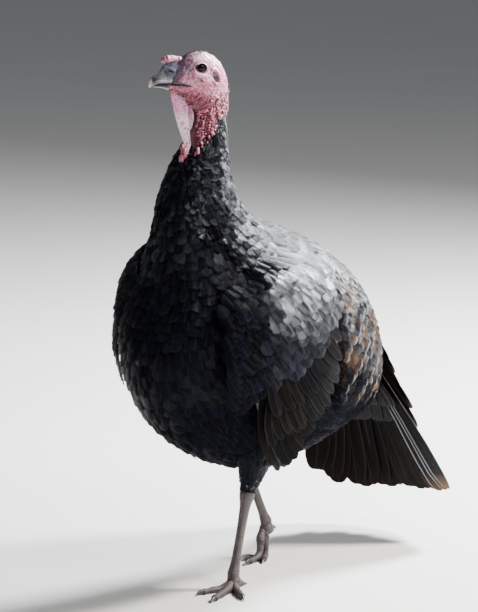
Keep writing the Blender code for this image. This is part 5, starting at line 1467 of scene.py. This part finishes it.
# The shank from under the thigh's feathers: places between hock and ankle, and its radii from the top.
SHANK_SHARES = (0.06, 0.16, 0.32, 0.5, 0.68, 0.84, 0.94, 1.0)
SHANK_RADII = [0.0080, 0.0098, 0.0112, 0.0106, 0.0080, 0.0069, 0.0064, 0.0064, 0.0068, 0.0082, 0.0088, 0.0080]
# Pitch of the plates, and how far they stand out, on shank and toes.
SHANK_PITCH, SHANK_RELIEF, TOE_PITCH, TOE_RELIEF = 0.0056, 0.00075, 0.0042, 0.0006
# Places along a claw, and its radius there as a share of the toe's.
CLAW_TAPER = ((0.0, 0.80), (0.2, 0.74), (0.4, 0.63), (0.6, 0.49), (0.8, 0.31), (1.0, 0.10))
SCALE_BASE, SCALE_DARK, SCALE_RIM, CLAW_DARK, CLAW_TIP = (np.array(c) for c in (
    (0.062, 0.048, 0.048), (0.012, 0.009, 0.010), (0.125, 0.102, 0.096), (0.022, 0.018, 0.019),
    (0.14, 0.115, 0.10)))


def plates(distance, turn, pitch, rows):
    """Height of the horny plates, nought to one: broad ones in front, small round scales behind."""
    front = smooth(np.cos(turn), -0.05, 0.30)
    sway = np.abs((turn + math.pi) % TURN - math.pi)
    step = distance / pitch + 0.22 * sway + (0.5 * (np.sin(turn) > 0) if rows == 2 else 0.0)
    step = step + 0.10 * np.sin(distance * 310)
    part = step % 1.0
    plate = (0.40 + 0.60 * part) * (1 - smooth(part, 0.86, 1.0)) * smooth(part, -0.08, 0.05)
    if rows == 2:
        plate = plate * (1 - 0.8 * np.exp(-(np.sin(turn) / 0.09) ** 2))
    small = (np.abs(np.sin(math.pi * (distance / (pitch * 0.42) + turn * 1.3)))
             * np.abs(np.sin(math.pi * (distance / (pitch * 0.42) - turn * 1.3))))
    return front * plate + (1 - front) * 0.55 * np.sqrt(small)


def limb(path, radii, ahead, pitch, rows, height, flat=1.0, lowest=0.0):
    """A scaled rod along a path, whose turn is counted from its front."""
    path, radii, ahead = np.array(path), np.array(radii)[:, None], np.array(ahead, float)
    reach = np.concatenate([[0], np.cumsum(np.linalg.norm(np.diff(path, axis=0), axis=1))])

    def place(u, v):
        t = np.clip(v * 1.04 - 0.02, 0, 1) * (len(path) - 1)
        tangent = unit(along(path, t + 0.02) - along(path, t - 0.02))
        front = unit(ahead - tangent * (tangent @ ahead)[:, None])
        ring = (front * np.cos(u * TURN)[:, None] + np.cross(tangent, front)
                * (flat * np.sin(u * TURN))[:, None])
        size = along(radii, t)[:, 0]
        if height:
            distance = np.interp(t, np.arange(len(path)), reach)
            size = size + height * (plates(distance, u * TURN, pitch, rows) - 0.6)
        end = np.sqrt(np.clip(np.minimum(v, 1 - v) / 0.02, 0, 1))
        spots = along(path, t) + ring * (size * end)[:, None]
        spots[:, 2] = np.maximum(spots[:, 2], ORIGIN[2] + lowest)
        return spots - ORIGIN

    def look(shares):
        t = np.clip(shares[:, 1] * 1.04 - 0.02, 0, 1) * (len(path) - 1)
        stand = plates(np.interp(t, np.arange(len(path)), reach), shares[:, 0] * TURN, pitch, rows)
        return dyed(
            SCALE_DARK, (SCALE_BASE, smooth(stand, 0.15, 0.55)),
            (SCALE_RIM, 0.55 * smooth(stand, 0.78, 0.98)))
    return place, look


def toe_line(ground, run, length, radius, hub):
    """The line of a front toe from the hub down to its own flat, and its swelling over each joint."""
    spots, sizes, reach, height = [], [], 0.0, hub
    for k in range(8):
        t = k / 7
        size = radius * (1 - 0.32 * t) * (1 + 0.14 * math.cos(6 * math.pi * t))
        ease = min(t / (0.8 if hub > 0.02 else 0.45), 1.0)
        z = max(hub - (hub - radius * 0.68) * ease * ease * (3 - 2 * ease), size * 0.86)
        if k:
            reach += math.sqrt(max((length / 7) ** 2 - (height - z) ** 2, 1e-8))
        height = z
        spots.append(ground + run * reach + (0, 0, z))
        sizes.append(size)
    return spots, sizes, run


scale_mat, tree, shader = material("leg_scale", (0.1, 0.09, 0.09), 0.44, Specular_IOR_Level=0.4)
marks = marking(tree)
where = places(tree)
cells = node(tree, "TexVoronoi", {"Vector": where, "Scale": 640.0},
             feature="DISTANCE_TO_EDGE").outputs["Distance"]
dust = noise(tree, where, 120.0, 6.0, 0.65)
fine = noise(tree, where, 1400.0, 3.0)
toned = mixed(tree, ramp(tree, dust, 0.45, 0.72, 0.0, 0.55), marks["Color"], (0.115, 0.086, 0.076))
dusky = mixed(tree, ramp(tree, dust, 0.28, 0.48, 0.65, 0.0), toned, (0.035, 0.027, 0.030))
tree.links.new(mixed(tree, ramp(tree, cells, 0.0, 0.10, 0.45, 0.0), dusky, (0.02, 0.016, 0.016)),
               shader.inputs["Base Color"])
tree.links.new(ramp(tree, dust, 0.3, 0.7, 0.34, 0.58), shader.inputs["Roughness"])
bump(tree, shader, maths(tree, "MULTIPLY_ADD", ramp(tree, cells, 0.0, 0.14), 1.0,
                         maths(tree, "MULTIPLY", fine, 0.5)), 0.00022, 0.7)

claw_mat, tree, shader = material("claw", (0.03, 0.025, 0.025), 0.33, Coat_Weight=0.1)
marks = marking(tree)
grain = noise(tree, places(tree), 420.0, 5.0)
tree.links.new(mixed(tree, ramp(tree, grain, 0.5, 0.75, 0.0, 0.5), marks["Color"], (0.10, 0.085, 0.075)),
               shader.inputs["Base Color"])
bump(tree, shader, grain, 0.0002, 0.6)

for side_name, side in SIDES.items():
    hip, hock, ankle = (np.array(table[side]) for table in (HIP, HOCK, ANKLE))
    shin = unit(hock - hip)
    hub = HUB_HEIGHT[side]
    ground = np.array((ankle[0], ankle[1], ORIGIN[2]))
    heading = FOOT_TURN[side]
    facing = (math.sin(heading) * side, -math.cos(heading), 0.0)
    path = [hip + (hock - hip) * 0.90, hip + (hock - hip) * 0.95, hock + shin * 0.001]
    path += [hock + (ankle - hock) * t for t in SHANK_SHARES] + [ground + (0, 0, hub)]
    place, look = limb(path, SHANK_RADII, facing, SHANK_PITCH, 2, SHANK_RELIEF)
    shank = grid_mesh("shank", 96, 260, place)
    paint(shank, look(shares_of(shank, (0.0, 0.0, 1.0, 1.0))))
    place_object(f"shank_skin_{side_name}", shank, scale_mat, (f"shank_{side_name}",))
    toes, toe_colours = [], []
    for k, (name, turn, length, radius) in enumerate(TOES):
        angle = heading + math.radians(turn * (1.0 if name == "hind" else SPLAY[side]))
        run = np.array((math.sin(angle) * side, -math.cos(angle), 0.0))
        if name == "hind":
            heights = (hub, hub * 0.8, radius * 0.86) if hub < 0.02 else (hub, hub * 0.98, hub * 0.93)
            spots = [ground + run * length * j / 2 + (0, 0, z) for j, z in enumerate(heights)]
            sizes, lie = [radius, radius * 0.85, radius * 0.72], unit(spots[2] - spots[1])
        else:
            spots, sizes, lie = toe_line(ground, run, length, radius, hub)
        patch = (0.02 + 0.24 * k, 0.0, 0.22, 1.0)
        # the skin runs on a little over the root of the claw
        place, look = limb(spots + [spots[-1] + lie * 0.0012], sizes + [sizes[-1] * 0.86], (0, 0, 1),
                           TOE_PITCH, 1, TOE_RELIEF)
        toe = grid_mesh("toe", 64, 30 if name == "hind" else 150, place, patch)
        toes.append(toe)
        toe_colours.append(look(shares_of(toe, patch)))
        points, thins = [], []
        for t, share in CLAW_TAPER:
            thin = sizes[-1] * share
            spot = spots[-1] + lie * (CLAW_GAP + CLAW_LONG * t) + (0, 0, 0.0012 * math.sin(math.pi * t))
            if t:
                spot[2] = max(spot[2] - 0.0036 * t * t, ORIGIN[2] + thin + 0.0002)
            points.append(spot)
            thins.append(thin)
        place, _look = limb(points, thins, (0, 0, 1), 1.0, 1, 0.0, flat=0.82)
        claw = grid_mesh("claw", 32, 40, place)
        along_claw = shares_of(claw, (0.0, 0.0, 1.0, 1.0))[:, 1]
        paint(claw, dyed(CLAW_DARK, (CLAW_TIP, smooth(along_claw, 0.55, 1.0))))
        place_object(f"claw_horn_{side_name}_{name}", claw, claw_mat, (f"claw_{side_name}_{name}",))
    toes.append(caruncle(ground + (0, 0, hub) - ORIGIN, UP, np.array(facing), BALL_OF_FOOT, 7))
    toe_colours.append(np.tile(SCALE_BASE * 0.8, (len(toes[-1].vertices), 1)))
    foot = joined(f"foot_skin_{side_name}", toes)
    paint(foot, np.concatenate(toe_colours))
    place_object(f"foot_skin_{side_name}", foot, scale_mat, (f"foot_{side_name}",))
